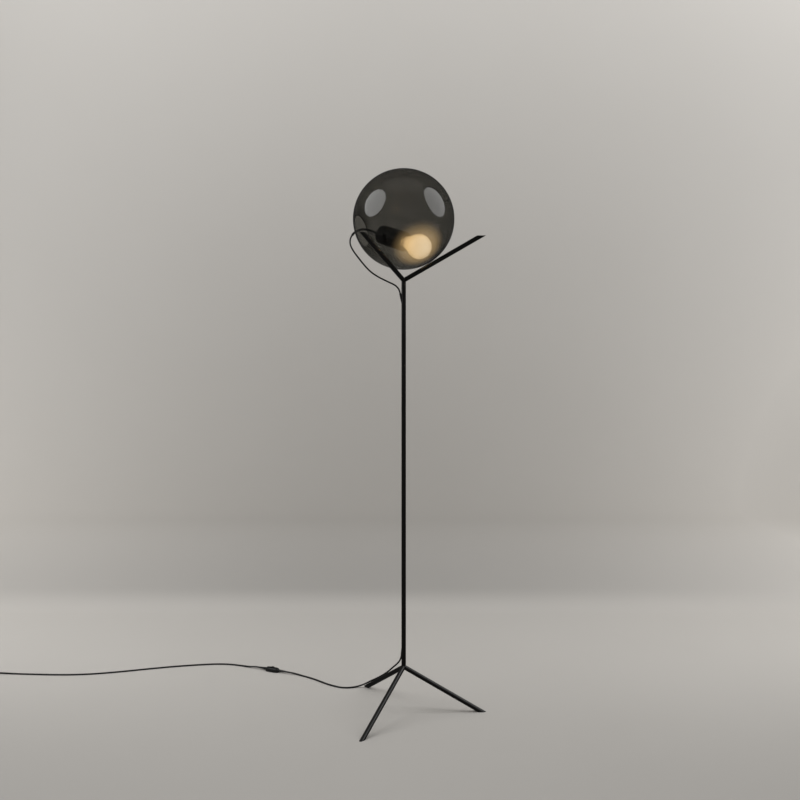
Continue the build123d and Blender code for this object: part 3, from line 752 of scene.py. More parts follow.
# ---- The globe ----
@dataclass
class Globe:
    """The blown globe: a round shell with one hole, whose edge is melted round."""

    radius: float = 0.124
    wall: float = 0.003
    thin: float = 0.0016
    swell: float = 16.0
    opening: float = 0.080
    opening_turn: float = 159.5
    opening_drop: float = 14.0
    # Where the bulb's painted glow sits on the glass, and its colour, given off as emission.
    painted_glow_turn: float = -68.0
    painted_glow_drop: float = 36.5
    painted_bulb_glow: tuple = (0.21, 0.140, 0.063, 1.0)
    # The colour of the floor's painted reflection under the globe, given off as emission.
    painted_floor_reflection: tuple = (0.016, 0.0155, 0.0145, 1.0)
    centre: np.ndarray = field(
        default_factory=lambda: np.array([STEM_X, 0.0, 1.0536966 + 0.1298 / math.cos(math.pi / 6)])
    )

    def profile(self) -> np.ndarray:
        """The outer arc from the back to the hole, half a turn round the lip, and back inside.

        The glass is blown thin and thickens by a smooth step towards the hole's lip.

        Returns:
            Radii and heights along the hole's axis.
        """
        middle = self.radius - self.wall / 2
        half = math.asin((self.opening + self.wall) / 2 / middle)
        sweep = np.linspace(math.pi, half, 110)
        outer = self.radius * np.stack([np.sin(sweep), np.cos(sweep)], axis=1)
        near = np.clip(1 - (sweep - half) / math.radians(self.swell), 0, 1)
        depth = self.thin + (self.wall - self.thin) * eased(near)
        inner = outer * (1 - depth / self.radius)[:, None]
        outward = np.array([math.sin(half), math.cos(half)])
        forward = np.array([-math.cos(half), math.sin(half)])
        turn = np.linspace(0, math.pi, 13)[1:-1, None]
        lip = middle * outward + self.wall / 2 * (np.cos(turn) * outward + np.sin(turn) * forward)
        return np.vstack([outer, lip, inner[::-1]])

    def build(self) -> None:
        """Make the glass in place of the model's, with the bulb's glow painted on its near side
        and a painted reflection of the floor.
        """
        axis = aim(self.opening_turn, -self.opening_drop)
        grid = turned(self.profile()[1:-1], self.centre, axis, 224)
        glass = Skin(grid).piece("globe_glass", 60.0)
        painted_glow_spot = tuple(self.centre + self.radius * aim(self.painted_glow_turn, -self.painted_glow_drop))
        below = tuple(self.centre - self.radius * UP)
        lit = (
            # A reflection of the floor, painted on the glass as emission.
            Patch(below, core=0.030, reach=0.105, colour=self.painted_floor_reflection),
            # The bulb's glow, painted on the glass as emission.
            Patch(painted_glow_spot, core=0.026, reach=0.071, colour=self.painted_bulb_glow),
        )
        smoked = ClearGlass("smoked_glass", "smoked_glass", lit=lit)
        own(glass, smoked, "globe", body=Body.GLOBE)
        LOG.info("globe: %d faces", len(glass.data.polygons))


# ---- The bulb and its holder ----
@dataclass
class Bulb:
    """The lit bulb: a round glass that runs on into its neck, and the glow inside it."""

    globe: Globe
    radius: float = 0.030
    wall: float = 0.001
    neck: float = 0.0134
    cap_top: float = -0.0485
    shoulder: float = 35.0
    rest_turn: float = -52.0
    rest_drop: float = 49.0
    lamp_turn: float = -39.7
    lamp_drop: float = 15.3
    play: float = 0.0003
    glow_inset: float = 0.0050
    glow_end: float = -0.034
    glow_tip: tuple[float, float] = (0.004, -0.0355)

    @property
    def axis(self) -> np.ndarray:
        """The direction that the bulb points in."""
        return aim(self.lamp_turn, -self.lamp_drop)

    @property
    def centre(self) -> np.ndarray:
        """The middle of the bulb's ball, where it lies on the globe's inside."""
        reach = self.globe.radius - self.globe.wall - self.radius - self.play
        return self.globe.centre + reach * aim(self.rest_turn, -self.rest_drop)

    def outline(self, inset: float) -> np.ndarray:
        """One side of the glass: an arc from the crown past the middle, then a hollow arc.

        The hollow arc leaves the ball along its tangent and ends at the neck. Its radius is
        the squared chord over twice the chord's reach along the ball's normal.

        Args:
            inset: How far inside the outer glass the line runs.

        Returns:
            Radii and heights, from the crown to the neck.
        """
        ball, neck = self.radius - inset, self.neck - inset
        turn = math.radians(self.shoulder)
        sweep = np.linspace(math.pi / 2, -turn, 48)
        crown = ball * np.stack([np.cos(sweep), np.sin(sweep)], axis=1)
        normal = np.array([math.cos(turn), -math.sin(turn)])
        chord = crown[-1] - np.array([neck, self.cap_top])
        hollow = -(chord @ chord) / (2 * chord @ normal)
        middle = crown[-1] + normal * hollow
        ends = [np.array([neck, self.cap_top]) - middle, crown[-1] - middle]
        first, last = (math.atan2(end[1], end[0]) % (2 * math.pi) for end in ends[::-1])
        around = np.linspace(first, last, 24)[1:]
        throat = middle + hollow * np.stack([np.cos(around), np.sin(around)], axis=1)
        return np.vstack([crown, throat])

    def build(self) -> None:
        """Make the glass and the glow, and dress the rest of the bulb."""
        outer, inner = self.outline(0.0), self.outline(self.wall)
        shell = np.vstack([outer[1:], inner[:0:-1]])
        glass = Skin(turned(shell, self.centre, self.axis, 112)).piece("bulb_envelope", 50.0)
        clear = ClearGlass(
            "bulb_clear_glass",
            "bulb_clear_glass",
            depth_tint=(0.98, 0.93, 0.84, 1.0),
            depth_density=120.0,
            near_tint=grey(1.0),
            film=0.03,
            film_tint=(1.0, 0.95, 0.85, 1.0),
            frosted=Patch(tuple(self.centre), core=0.033, reach=0.052),
            ripple_depth=0.00005,
        )
        own(glass, clear, "bulb_glass")

        heart = self.outline(self.glow_inset)
        heart = np.vstack([heart[heart[:, 1] > self.glow_end][1:], [self.glow_tip]])
        glow = Skin(turned(heart, self.centre, self.axis, 72)).piece("bulb_glow", 50.0)
        lit = Glow(
            "bulb_glow",
            "filament_glow",
            centre=tuple(self.centre + 0.010 * self.axis),
            reach=0.036,
        )
        own(glow, lit)
        FILAMENT.coat("filaments")
        BRIGHT_STEEL.coat("filament_supports", "bulb_contact")
        clear.coat("bulb_stem")
        BRASS.coat("bulb_cap")
        INSERT_DARK.coat("bulb_insulator")
        LOG.info("bulb: glass and glow about %s", np.round(self.centre, 4))


@dataclass
class Holder:
    """The lamp holder, as the model has it."""

    def build(self) -> None:
        """Dress the holder's pieces."""
        HOLDER_BLACK.coat("holder_shell", "holder_cap", "holder_mouth_ring", "holder_gland")
        INSERT_DARK.coat("holder_insert")
        BRASS.coat("screw_shell", "centre_contact")
        BRIGHT_STEEL.coat("terminal_screws")
        LOG.info("holder: shell, cap, ring, insert and contacts")


# ---- The cord and what is on it ----
def spline(name: str, points: np.ndarray, diameter: float) -> Piece:
    """A cord as a curve of one open NURBS spline.

    Args:
        name: The object's name.
        points: Its control points.
        diameter: The cord's diameter, or 0 for the bare line.

    Returns:
        The object, linked to the scene.
    """
    curve = bpy.data.curves.new(name, "CURVE")
    curve.dimensions = "3D"
    line = curve.splines.new("NURBS")
    line.points.add(len(points) - 1)
    line.points.foreach_set("co", np.hstack([points, np.ones((len(points), 1))]).ravel())
    line.order_u = 3
    line.use_endpoint_u = True
    curve.resolution_u = 10
    curve.bevel_depth = diameter / 2
    curve.bevel_resolution = 4
    curve.use_fill_caps = diameter > 0
    return linked(name, curve)


def read_line(points: np.ndarray) -> np.ndarray:
    """The NURBS line that a cord follows.

    Args:
        points: The cord's control points.

    Returns:
        The line's points.
    """
    bare = spline("bare_line", points, 0.0)
    bpy.context.view_layer.update()
    mesh = bpy.data.meshes.new_from_object(bare)
    line = np.empty(len(mesh.vertices) * 3)
    mesh.vertices.foreach_get("co", line)
    bpy.data.meshes.remove(mesh)
    curve = bare.data
    bpy.data.objects.remove(bare)
    bpy.data.curves.remove(curve)
    return line.reshape(-1, 3)


def run_lengths(line: np.ndarray) -> np.ndarray:
    """The distance along a line of points, from its start to each."""
    steps = np.linalg.norm(np.diff(line, axis=0), axis=1)
    return np.concatenate([[0.0], np.cumsum(steps)])


@dataclass
class StemGland:
    """Where the cord leaves the stem: a slanting gland."""

    height: float
    turn: float
    rise_sign: int
    tube: float = 0.0055
    slant: float = 14.0
    stand_off: float = 0.003

    @property
    def heading(self) -> np.ndarray:
        """The direction that the cord leaves in."""
        slant = math.radians(self.slant)
        return aim(self.turn, 0.0) * math.sin(slant) + UP * (self.rise_sign * math.cos(slant))

    @property
    def wall(self) -> np.ndarray:
        """Where the cord's line passes the tube's face."""
        return aim(self.turn, 0.0) * self.tube + np.array([STEM_X, 0.0, self.height])

    @property
    def mouth(self) -> np.ndarray:
        """The gland's mouth."""
        return self.wall + self.heading * (self.stand_off / math.sin(math.radians(self.slant)))

    @property
    def bend(self) -> np.ndarray:
        """Where the cord's line meets the stem's axis."""
        return self.wall - self.heading * (self.tube / math.sin(math.radians(self.slant)))


def in_row(points: list[Place]) -> np.ndarray:
    """Points measured from the stem's axis, moved into the row's frame."""
    return np.array(points) + np.array([STEM_X, 0.0, 0.0])


@dataclass
class Coil:
    """The unused lead, wound in two layers: in along the lower one and out along the upper."""

    centre: tuple[float, float] = (-1.120, 0.228)
    start_turn: float = 87.0
    radius: float = 0.028
    turns: float = 2.375
    climb: float = 0.5
    pitch: float = 0.0046
    low: float = 0.003
    tail: float = 0.020
    steps: int = 24
    step: float = 1e-4

    @property
    def inner(self) -> float:
        """The radius where the cord climbs to the upper layer."""
        return self.radius - self.pitch * self.turns

    @property
    def all_turns(self) -> float:
        """All the turns from the start of the coil to its end."""
        return 2 * self.turns + self.climb

    def at(self, turns: np.ndarray) -> np.ndarray:
        """The centreline.

        The radius shrinks by the pitch each turn, the height eases up over the climb, and the
        radius grows again.

        Args:
            turns: How far along, in turns.

        Returns:
            The points.
        """
        climbed = (turns - self.turns) / self.climb
        share = np.clip(climbed, 0, 1)
        middle = self.inner - self.pitch * self.climb * share * (1 - share)
        radius = np.where(climbed < 0, self.radius - self.pitch * turns, middle)
        outward = self.inner + self.pitch * (turns - self.turns - self.climb)
        radius = np.where(climbed > 1, outward, radius)
        height = self.low + self.pitch * eased(share)
        angle = np.radians(self.start_turn + 360 * turns)
        across = STEM_X + self.centre[0] + radius * np.cos(angle)
        return np.stack([across, self.centre[1] + radius * np.sin(angle), height], axis=-1)

    def heading(self, turns: float) -> np.ndarray:
        """The centreline's direction, from a small step each way."""
        return unit(np.subtract(*self.at(np.array([turns + self.step, turns - self.step]))))

    def points(self) -> list[np.ndarray]:
        """The cord's control points round the coil, worked out turn by turn."""
        count = round(self.all_turns * self.steps)
        return [self.at(np.array(self.all_turns * step / count)) for step in range(count + 1)]

    @property
    def tail_heading(self) -> np.ndarray:
        """The level direction that the cord leaves the coil in."""
        heading = self.heading(self.all_turns)
        return unit(heading * np.array([1.0, 1.0, 0.0]))

    @property
    def tail_end(self) -> np.ndarray:
        """Where the plug's relief starts."""
        return self.at(np.array(self.all_turns)) + self.tail_heading * self.tail


@dataclass
class Switch:
    """The in-line switch: two shells, a ridged rocker, and a ribbed relief at each end."""

    centre: tuple[float, float] = (-0.3531, 0.2745)
    turn: float = 155.5
    length: float = 0.040
    width: float = 0.017
    seam: float = 0.005
    cover: float = 0.0052
    slope: float = 24.0
    rocker_length: float = 0.020
    rocker_width: float = 0.0074
    play: float = 0.0009
    window_play: float = 0.00035
    relief_length: float = 0.020
    relief_radius: float = 0.0035
    relief_tip: float = 0.0024
    relief_tuck: float = 0.0025
    ribs: int = 6
    rib_depth: float = 0.00035

    @property
    def axis(self) -> np.ndarray:
        """The switch's long axis, away from the lamp."""
        return aim(self.turn, 0.0)

    @property
    def middle(self) -> np.ndarray:
        """The middle of the seam, which is the cord's height."""
        return np.array([STEM_X + self.centre[0], self.centre[1], self.seam])

    def end(self, sign: int) -> np.ndarray:
        """The tip of the relief, at -1 the lamp's side and at 1 the far side."""
        return self.middle + self.axis * (sign * (self.length / 2 + self.relief_length))

    def shell(self, name: str, stations: np.ndarray, node: str) -> Piece:
        """A shell half: superellipses whose sizes and heights are given by station.

        Args:
            name: The piece's name.
            stations: Half length, half width, power and height, (rows, 4).
            node: The model's node.

        Returns:
            The piece.
        """
        across = np.cross(UP, self.axis)
        centres = self.middle * [1, 1, 0] + stations[:, 3, None] * UP
        grid = rounded(stations[:, :2], stations[:, 2], centres, (self.axis, across), 128)
        piece = Skin(grid).piece(name, 35.0)
        return own(piece, SWITCH_BLACK, node)

    def relief(self, name: str, sign: int, node: str) -> Piece:
        """A strain relief: a taper with six ribs, as a ripple added to its radius.

        Args:
            name: The piece's name.
            sign: Which end of the switch it is at.
            node: The model's node.

        Returns:
            The piece.
        """
        share = np.linspace(0, 1, 97)
        radius = self.relief_tip + (self.relief_radius - self.relief_tip) * share
        fade = np.clip(2 * self.ribs * (1 - share), 0, 1)
        radius = radius + self.rib_depth * ribbed(share, self.ribs) * fade
        profile = np.stack([radius, share * self.relief_length], axis=1)
        root = [[self.relief_radius, self.relief_length + self.relief_tuck]]
        profile = np.vstack([profile, root])
        grid = turned(profile, self.end(sign), self.axis * -sign, 40)
        return own(Skin(grid).piece(name, 30.0), SWITCH_BLACK, node)

    def build(self) -> list[Piece]:
        """Make the switch.

        Returns:
            The pieces that lie on the cord.
        """
        half, side, lean = self.length / 2, self.width / 2, math.tan(math.radians(self.slope))
        seam, top = self.seam, self.seam + self.cover
        # Insets and heights: the rounded foot, the side, and the small step at the seam.
        foot = ((0.0012, 0.0), (0.0006, 0.00012), (0.0, 0.0008))
        step = ((0.0, seam - 0.0004), (0.0002, seam - 0.0001))
        base = np.array([[half - i, side - i, 3.6, height] for i, height in foot + step])
        lower = self.shell("switch_lower", base, "switch_base")
        # Up the leaning side, over the rounded brow, and down through the rocker's window.
        long, broad = self.rocker_length / 2 + self.play, self.rocker_width / 2 + self.window_play
        rise = np.array([0.0001, 0.0004, 0.0026, 0.0044, 0.0049])
        inward = np.concatenate([[0.0002], rise[1:4] * lean, [rise[4] * lean + 0.0003]])
        rows = [[half - i, side - i, 3.4, seam + r] for i, r in zip(inward, rise)]
        rows += [
            [half - self.cover * lean - 0.0008, side - self.cover * lean - 0.0007, 3.4, top],
            [long + 0.0003, broad + 0.0003, 9.0, top],
            [long, broad, 14.0, top - 0.0003],
            [long, broad, 14.0, seam + 0.0012],
        ]
        upper = self.shell("switch_upper", np.array(rows), "switch_cover")
        reliefs = [
            self.relief("switch_relief_lamp_side", -1, "switch_relief_near"),
            self.relief("switch_relief_coil_side", 1, "switch_relief_far"),
        ]
        ROCKER_BLACK.coat("switch_rocker")
        BRIGHT_STEEL.coat("rocker_pin")
        BRASS.coat("switch_contacts")
        LOG.info("switch: shells, reliefs, rocker")
        nodes = [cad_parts[name] for name in ("switch_rocker", "rocker_pin")]
        return [lower, upper, *reliefs, *nodes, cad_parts["switch_contacts"]]


@dataclass
class MainsPlug:
    """The flat two-pin plug: a ribbed relief, a waisted body, and two sleeved round pins."""

    coil: Coil
    relief_length: float = 0.025
    tip: float = 0.0024
    length: float = 0.038
    width: float = 0.035
    thickness: float = 0.0144
    power: float = 3.6
    ribs: int = 7
    rib_depth: float = 0.0004

    def build(self) -> list[Piece]:
        """Make the plug.

        Returns:
            Its pieces.
        """
        heading = self.coil.tail_heading
        across = np.cross(heading, UP)
        start = self.coil.tail_end
        share = np.linspace(0, 1, 97)
        radius = self.tip + (self.thickness / 3 - self.tip) * share
        radius = radius + self.rib_depth * ribbed(share, self.ribs)
        profile = np.stack([radius, share * self.relief_length], axis=1)
        relief = Skin(turned(profile, start, heading, 40)).piece("plug_relief", 30.0)
        own(relief, PLUG_BLACK, "mains_plug_relief")

        # Shares of the body's length, and of its full width and thickness there.
        along_body = np.array([0.0, 0.02, 0.15, 0.3, 0.45, 0.62, 0.8, 0.95, 0.985, 1.0])
        wide = np.array([0.38, 0.43, 0.62, 0.80, 0.92, 1.0, 1.0, 0.97, 0.955, 0.92])
        thick = np.array([0.68, 0.75, 0.87, 0.94, 0.98, 1.0, 1.0, 1.0, 0.985, 0.93])
        halves = np.stack([wide * self.width / 2, thick * self.thickness / 2], axis=1)
        centres = start + heading * (self.relief_length + along_body[:, None] * self.length)
        powers = np.full(len(wide), self.power)
        grid = rounded(halves, powers, centres, (across, UP), 96)
        body = Skin(grid).piece("plug_body", 35.0)
        own(body, PLUG_BLACK, "mains_plug_body")
        BRIGHT_STEEL.coat("mains_plug_pins")
        LOG.info("plug: body, relief and pins")
        return [relief, body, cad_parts["mains_plug_pins"]]


@dataclass
class Tie:
    """The strap round the coil's bundle of turns."""

    coil: Coil
    cord_diameter: float
    turn: float = 120.0
    width: float = 0.010
    thickness: float = 0.0008
    play: float = 0.0002
    corner_power: float = 6.0
    edge_power: float = 5.0

    def build(self) -> Piece:
        """Make a flat band with a rounded edge, carried round the bundle.

        Its middle line is a superellipse about the bundle's section, and its own section is a
        superellipse too.

        Returns:
            The piece.
        """
        coil, half, thick = self.coil, self.width / 2, self.thickness
        cord = self.cord_diameter
        out = aim(self.turn, 0.0)
        inner = math.sqrt((coil.inner - cord / 2) ** 2 - half**2) - 3 * self.play
        outer = coil.radius + cord / 2 + self.play
        tall = coil.pitch + cord + 2 * self.play
        middle = np.array([STEM_X + coil.centre[0], coil.centre[1], thick + tall / 2])
        middle = middle + out * (inner + outer) / 2
        around = round_turn(120)[:, None]
        offset = np.cos(around) * out * (outer - inner + thick) / 2
        offset = offset + np.sin(around) * UP * (tall + thick) / 2
        offset = offset * squircle(around, self.corner_power)
        section = round_turn(24)[None, :, None]
        band = np.cos(section) * np.cross(out, UP) * half
        band = band + np.sin(section) * unit(offset)[:, None] * (thick / 2)
        band = band * squircle(section, self.edge_power)
        grid = middle + offset[:, None] + band
        piece = Skin(grid, looped=True).piece("coil_tie", 40.0)
        return own(piece, SLEEVE_BLACK, "cord_tie")


@dataclass
class Cord:
    """The lamp's one cord: from the holder into the stem, and from the stem to the plug."""

    bulb: Bulb
    diameter: float = 0.004
    sleeve_diameter: float = 0.006
    sleeve_corners: int = 6
    sleeve_share: float = 0.985
    sleeve_tip: tuple[float, float] = (0.97, 0.86)
    gland_end: float = -0.1465
    holder_run: float = 0.0475
    straight: float = 0.0075
    tucked: float = 0.004
    before_switch: float = 0.010
    after_switch: float = 0.012
    before_coil: float = 0.035
    before_plug: float = 0.012
    in_plug: float = 0.003
    top: StemGland = field(default_factory=lambda: StemGland(1.0096966, 180.0, 1))
    low: StemGland = field(default_factory=lambda: StemGland(0.1489966, 126.0, -1))
    coil: Coil = field(default_factory=Coil)
    switch: Switch = field(default_factory=Switch)

    # From the holder's gland, out through the globe's hole, round and down to the stem.
    HANGING = [
        (-0.0867, 0.0517, 1.1790), (-0.0977, 0.0521, 1.1813), (-0.1090, 0.0485, 1.1800),
        (-0.1180, 0.0415, 1.1756), (-0.1248, 0.0320, 1.1690), (-0.1300, 0.0215, 1.1605),
        (-0.1323, 0.0120, 1.1493), (-0.1296, 0.0055, 1.1365), (-0.1212, 0.0020, 1.1225),
        (-0.1085, 0.0004, 1.1060), (-0.0950, -0.0004, 1.0892), (-0.0810, -0.0008, 1.0746),
        (-0.0655, -0.0006, 1.0640), (-0.0495, -0.0002, 1.0556), (-0.0348, 0.0, 1.0486),
        (-0.0215, 0.0, 1.0425), (-0.0142, 0.0, 1.0356),
    ]
    # From the stem down along the back leg, off its toe and over the floor to the switch.
    FLOOR = [
        (-0.0098, 0.0136, 0.1192), (-0.0178, 0.0254, 0.1064), (-0.0294, 0.0450, 0.0900),
        (-0.0404, 0.0734, 0.0704), (-0.0549, 0.1018, 0.0513), (-0.0691, 0.1259, 0.0353),
        (-0.0829, 0.1448, 0.0228), (-0.0955, 0.1545, 0.0126), (-0.1105, 0.1585, 0.0049),
        (-0.1268, 0.1544, 0.0023), (-0.1440, 0.1506, 0.0020), (-0.1620, 0.1526, 0.0020),
        (-0.1790, 0.1620, 0.0020), (-0.1970, 0.1750, 0.0020), (-0.2150, 0.1920, 0.0020),
        (-0.2335, 0.2100, 0.0020), (-0.2540, 0.2262, 0.0020), (-0.2720, 0.2386, 0.0020),
        (-0.2895, 0.2498, 0.0030),
    ]
    # From the switch over the floor to the coil.
    FAR = [
        (-0.4185, 0.3016, 0.0030), (-0.4440, 0.3140, 0.0020), (-0.4780, 0.3242, 0.0020),
        (-0.5140, 0.3260, 0.0020), (-0.5560, 0.3200, 0.0020), (-0.6020, 0.3114, 0.0020),
        (-0.6500, 0.2998, 0.0020), (-0.6990, 0.2856, 0.0020), (-0.7480, 0.2704, 0.0020),
        (-0.7950, 0.2576, 0.0020), (-0.8420, 0.2480, 0.0020), (-0.8900, 0.2436, 0.0020),
        (-0.9400, 0.2442, 0.0020), (-0.9900, 0.2472, 0.0020), (-1.0400, 0.2514, 0.0020),
    ]

    @property
    def holder_end(self) -> np.ndarray:
        """Where the cord leaves the holder's gland."""
        return self.bulb.centre + self.bulb.axis * self.gland_end

    def hang(self) -> None:
        """Lay the hanging stretch and the sleeve that guards it at the globe's hole."""
        exit_point = self.holder_end
        first = [exit_point, exit_point - self.bulb.axis * self.straight]
        last = [self.top.mouth + self.top.heading * self.straight, self.top.mouth]
        points = np.vstack([first, in_row(self.HANGING), last])
        cord = spline("cord_hanging", points, self.diameter)
        own(cord, CORD_BLACK, "hanging_cord")

        line = read_line(points)
        runs = np.linalg.norm(np.diff(points, axis=0), axis=1)
        reach = runs[: self.sleeve_corners].sum() + runs[self.sleeve_corners] / 2
        covered = line[run_lengths(line) < reach * self.sleeve_share]
        radii = np.full(len(covered), self.sleeve_diameter / 2)
        radii[-2:] *= self.sleeve_tip
        never_along = np.array([0.35, 0.9, -0.2])
        sleeve = Skin(along(covered, radii, 24, never_along)).piece("sleeve", 50.0)
        own(sleeve, SLEEVE_BLACK, "cord_sleeve")
        LOG.info("hanging cord: %.3f m", run_lengths(line)[-1])

    def inside(self) -> None:
        """Lay the runs that the stem and the holder hide."""
        corners = np.array([self.top.mouth, self.top.bend, self.low.bend, self.low.mouth])
        down = np.array([[1, 0, 0, 0], [0.2, 0.8, 0, 0], [0, 1, 0, 0], [0, 0.9, 0.1, 0]])
        route = np.vstack([down, down[::-1, ::-1]]) @ corners
        in_stem = spline("cord_in_stem", route, self.diameter)
        own(in_stem, CORD_BLACK, "stem_cord")
        route = np.linspace(0, self.holder_run, 4)[:, None] * self.bulb.axis + self.holder_end
        in_holder = spline("cord_in_holder", route, self.diameter)
        own(in_holder, CORD_BLACK, "holder_cord")

    def lead(self) -> None:
        """Lay the lead from the stem to the switch, and on from it to the coil and plug."""
        switch, coil = self.switch, self.coil
        on_cord = switch.build()
        near_end = switch.end(-1)
        first = [self.low.mouth, self.low.mouth + self.low.heading * self.straight]
        axis = switch.axis
        last = [near_end - axis * self.before_switch, near_end, near_end + axis * self.tucked]
        points = np.vstack([first, in_row(self.FLOOR), last])
        near = spline("lead_lamp_side", points, self.diameter)
        own(near, CORD_BLACK, "lead_to_switch")
        self.low.mouth
        LOG.info("lead to the switch: %.3f m", run_lengths(read_line(points))[-1])

        far_end = switch.end(1)
        first = [far_end - axis * self.tucked, far_end, far_end + axis * self.after_switch]
        heading = coil.heading(0.0)
        entry = coil.at(np.array(0.0)) - heading * self.diameter
        last = [entry - heading * self.before_coil, entry]
        way = coil.tail_heading
        tail = [coil.tail_end - way * self.before_plug, coil.tail_end + way * self.in_plug]
        points = np.vstack([first, in_row(self.FAR), last, coil.points(), tail])
        far = spline("lead_coil_side", points, self.diameter)
        own(far, CORD_BLACK, "lead_to_coil", "cord_coil")
        plug = MainsPlug(coil).build()
        self.tie()
        LOG.info("lead to the plug: %.3f m", run_lengths(read_line(points))[-1])

    def tie(self) -> Piece:
        """The strap round the coil."""
        return Tie(self.coil, self.diameter).build()

    def build(self) -> None:
        """Lay every stretch of the cord."""
        self.hang()
        self.inside()
        self.lead()


# ---- The studio ----
@dataclass(frozen=True)
class PaperSweep:
    """The pale paper that the lamp stands on, curved up behind it and clear from its back."""

    colour: tuple = (0.90, 0.870, 0.825, 1.0)
    shade: tuple = (0.875, 0.845, 0.80, 1.0)
    painted_shade_black: tuple = grey(0.0)
    left: float = -2.4
    right: float = 2.3
    front: float = -0.9
    back: float = 0.77
    bend: float = 0.25
    top: float = 3.2
    # Levels of the painted light and shade on the wall and the floor, and how they change across
    # them.
    wall_low: float = 0.66
    wall_rise: float = 0.07
    wall_foot: float = 0.30
    wall_lean: float = 0.06
    sides_low: float = 0.60
    sides_fall: float = 0.64
    floor_near: float = 0.505
    floor_rise: float = 0.105
    floor_sides: float = 0.30
    middle: float = -0.05
    half_view: float = 1.33

    def painted_shading(self, board: Board) -> Level:
        """How bright the paper is painted: painted light and shade that make it paler to the
        sides, up the wall and towards the cove, and darker at the wall's foot.

        Args:
            board: The paper's shader board.

        Returns:
            A factor from 0, black, to 1, the paper's own colour.
        """
        across, depth, height = board.axes()
        aside = (across - self.middle) * (1 / self.half_view)
        wide = aside * aside
        wall = self.wall_low + height.ramp(1.0, 2.4) * self.wall_rise
        wall = wall * (1 - self.wall_foot * (1 - height.ramp(0.02, 0.30)))
        wall = wall * (1 + wide * (self.sides_low - height.ramp(0.2, 1.9) * self.sides_fall))
        wall = wall * (1 + aside * self.wall_lean)
        floor = self.floor_near + depth.ramp(-0.5, 0.45) * self.floor_rise
        floor = floor * (1 + wide * depth.ramp(-0.5, 0.6) * self.floor_sides)
        standing = height.ramp(0.0, 0.05)
        return floor + standing * (wall - floor)

    def build(self) -> None:
        """Make the sheet: the floor, a quarter circle up, and the wall."""
        turn = np.linspace(0, math.pi / 2, 40)
        floor = np.array([[self.front, 0.0], [0.0, 0.0], [self.back, 0.0]])
        cove = np.stack(
            [self.back + self.bend * np.sin(turn), self.bend * (1 - np.cos(turn))], axis=1
        )
        wall = np.array([[self.back + self.bend, self.top]])
        line = np.vstack([floor, cove[1:], wall])
        across = np.linspace(self.left, self.right, 3)
        grid = np.stack(
            np.broadcast_arrays(across[None], line[:, 0, None], line[:, 1, None]), axis=-1
        )
        rows, columns, _ = grid.shape
        index = np.arange(rows * columns).reshape(rows, columns)
        faces = np.stack([index[:-1, :-1], index[:-1, 1:], index[1:, 1:], index[1:, :-1]], axis=-1)
        mesh = bpy.data.meshes.new("paper_sweep")
        mesh.from_pydata(grid.reshape(-1, 3).tolist(), [], faces.reshape(-1, 4).tolist())
        mesh.polygons.foreach_set("use_smooth", np.ones(len(mesh.polygons), dtype=bool))
        sheet = linked("paper_sweep", mesh)
        material = bpy.data.materials.new("paper")
        material.use_nodes = True
        board = Board(material.node_tree)
        mottle = board.noise(3.0, 3.0)
        paper = board.surface(
            {"Roughness": 0.85, "Specular IOR Level": 0.15},
            {
                # The paper's mottled colour, darkened towards black by the painted light and
                # shade.
                "Base Color": board.mixed(
                    self.painted_shading(board), self.painted_shade_black, board.mixed(mottle, self.colour, self.shade)
                ),
                "Normal": board.bump(board.noise(700.0, 2.0), 0.0002, 0.3),
            },
        )
        behind = board.node("ShaderNodeNewGeometry").outputs["Backfacing"]
        clear = board.node("ShaderNodeBsdfTransparent")
        one_way = {0: behind, 1: paper.outputs[0], 2: clear.outputs[0]}
        board.output(board.node("ShaderNodeMixShader", None, one_way))
        mesh.materials.append(material)
        sheet.visible_glossy = False


class BoxShape(Enum):
    """The outlines of the soft boxes."""

    ROUND = "ELLIPSE"
    SQUARE = "RECTANGLE"


@dataclass(frozen=True)
class SoftBox:
    """A large soft lamp that faces a point.

    Attributes:
        name: The light's name.
        place: Where it stands.
        target: What it faces.
        size: Its width and height.
        radiance: How bright its face is, where 1 is white paper's level.
        shape: Its outline.
        mirrored: Whether glossy pieces mirror its face.
    """

    name: str
    place: Place
    target: Place
    size: tuple[float, float]
    radiance: float
    shape: BoxShape = BoxShape.ROUND
    mirrored: bool = True

    def build(self) -> None:
        """Make the light, whose power is pi times its radiance and its area."""
        light = bpy.data.lights.new(self.name, "AREA")
        light.shape = self.shape.value
        light.size, light.size_y = self.size
        area = self.size[0] * self.size[1] * (math.pi / 4 if self.shape is BoxShape.ROUND else 1)
        light.energy = math.pi * self.radiance * area
        lamp = linked(self.name, light)
        heading = unit(np.array(self.target) - np.array(self.place))
        across = unit(np.cross(heading, UP))
        matrix = np.eye(4)
        matrix[:3, :3] = np.stack([across, np.cross(across, heading), -heading], axis=1)
        matrix[:3, 3] = self.place
        lamp.matrix_world = Matrix(matrix.tolist())
        lamp.visible_glossy = self.mirrored


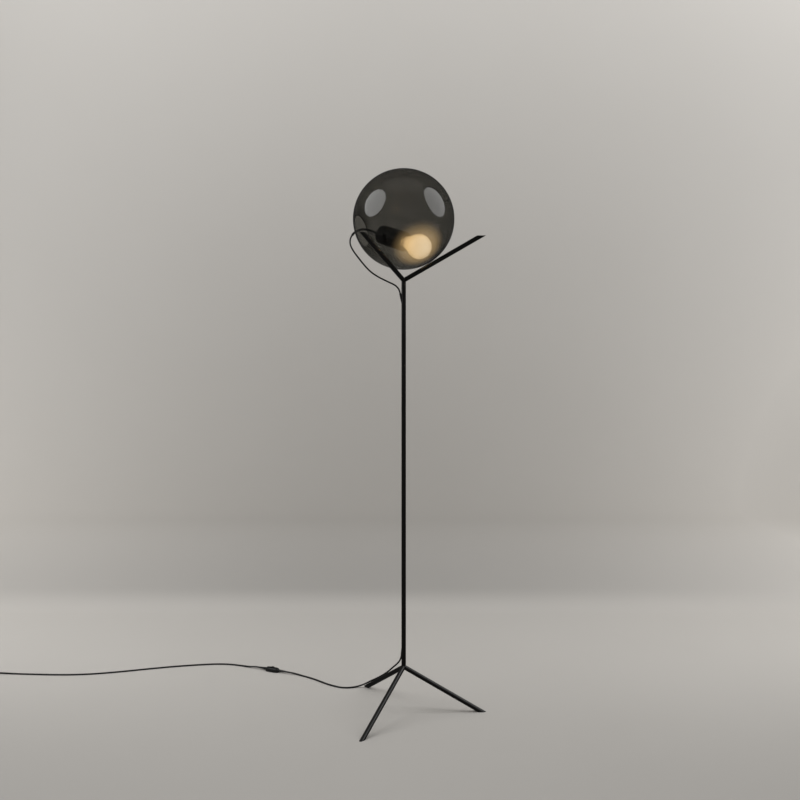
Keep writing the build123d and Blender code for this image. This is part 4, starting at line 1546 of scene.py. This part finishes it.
@dataclass(frozen=True)
class Studio:
    """The paper, the soft boxes, the room's own light and the camera."""

    ambient: float = 0.25
    mirrored: float = 0.12
    surround: tuple = (0.46, 0.45, 0.435, 1.0)
    eye: Place = (-0.0463, -2.6333, 1.0412)
    lens: float = 48.49
    shift: tuple[float, float] = (-0.000625, -0.143125)

    def world(self) -> None:
        """The room: a low even light, and the paper's level where the camera looks past it."""
        world = bpy.data.worlds.new("studio")
        bpy.context.scene.world = world
        world.use_nodes = True
        board = Board(world.node_tree)
        path = board.node("ShaderNodeLightPath")
        seen = Level(board, path.outputs["Is Camera Ray"])
        seen = seen.largest(Level(board, path.outputs["Is Transmission Ray"]))
        glossy = Level(board, path.outputs["Is Glossy Ray"])
        strength = self.ambient + seen * (1 - self.ambient)
        strength = strength + glossy * (1 - seen) * (self.mirrored - self.ambient)
        background = board.node(
            "ShaderNodeBackground", None, {"Color": self.surround, "Strength": strength}
        )
        board.output(background, kind="ShaderNodeOutputWorld")

    def lights(self) -> None:
        """Two soft boxes at the sides, whose faces the globe mirrors, and one overhead."""
        globe = (STEM_X, 0.0, 1.2)
        SoftBox("left_box", (-1.75, -0.40, 2.15), globe, (1.90, 1.84), 2.9).build()
        SoftBox("right_box", (1.85, -0.14, 2.24), globe, (1.95, 2.05), 2.25).build()
        over, floor = (0.0, -0.3, 3.7), (0.0, 0.3, 0.0)
        SoftBox("top_box", over, floor, (3.0, 1.8), 2.3, BoxShape.SQUARE, False).build()

    def camera(self) -> None:
        """The camera: level, looking along +Y, with the frame's middle moved down."""
        data = bpy.data.cameras.new("camera")
        data.lens, data.sensor_width = self.lens, 36.0
        data.shift_x, data.shift_y = self.shift
        data.clip_end = 60.0
        camera = linked("camera", data)
        camera.location = self.eye
        camera.rotation_euler = (math.pi / 2, 0.0, 0.0)
        bpy.context.scene.camera = camera

    def build(self) -> None:
        """Set up the paper, the room, the lights and the camera."""
        PaperSweep().build()
        self.world()
        self.lights()
        self.camera()
        bpy.context.scene.view_settings.view_transform = "Standard"
        LOG.info("studio: paper, lights and camera")


def main() -> None:
    """Build the lamp and the studio."""
    logging.basicConfig(level=logging.INFO, format="%(name)s: %(message)s")
    Studio().build()
    globe = Globe()
    bulb = Bulb(globe)
    Cord(bulb).build()
    SteelFrame().build()
    globe.build()
    bulb.build()
    Holder().build()
    bpy.context.view_layer.update()


if __name__ == "__main__":
    main()
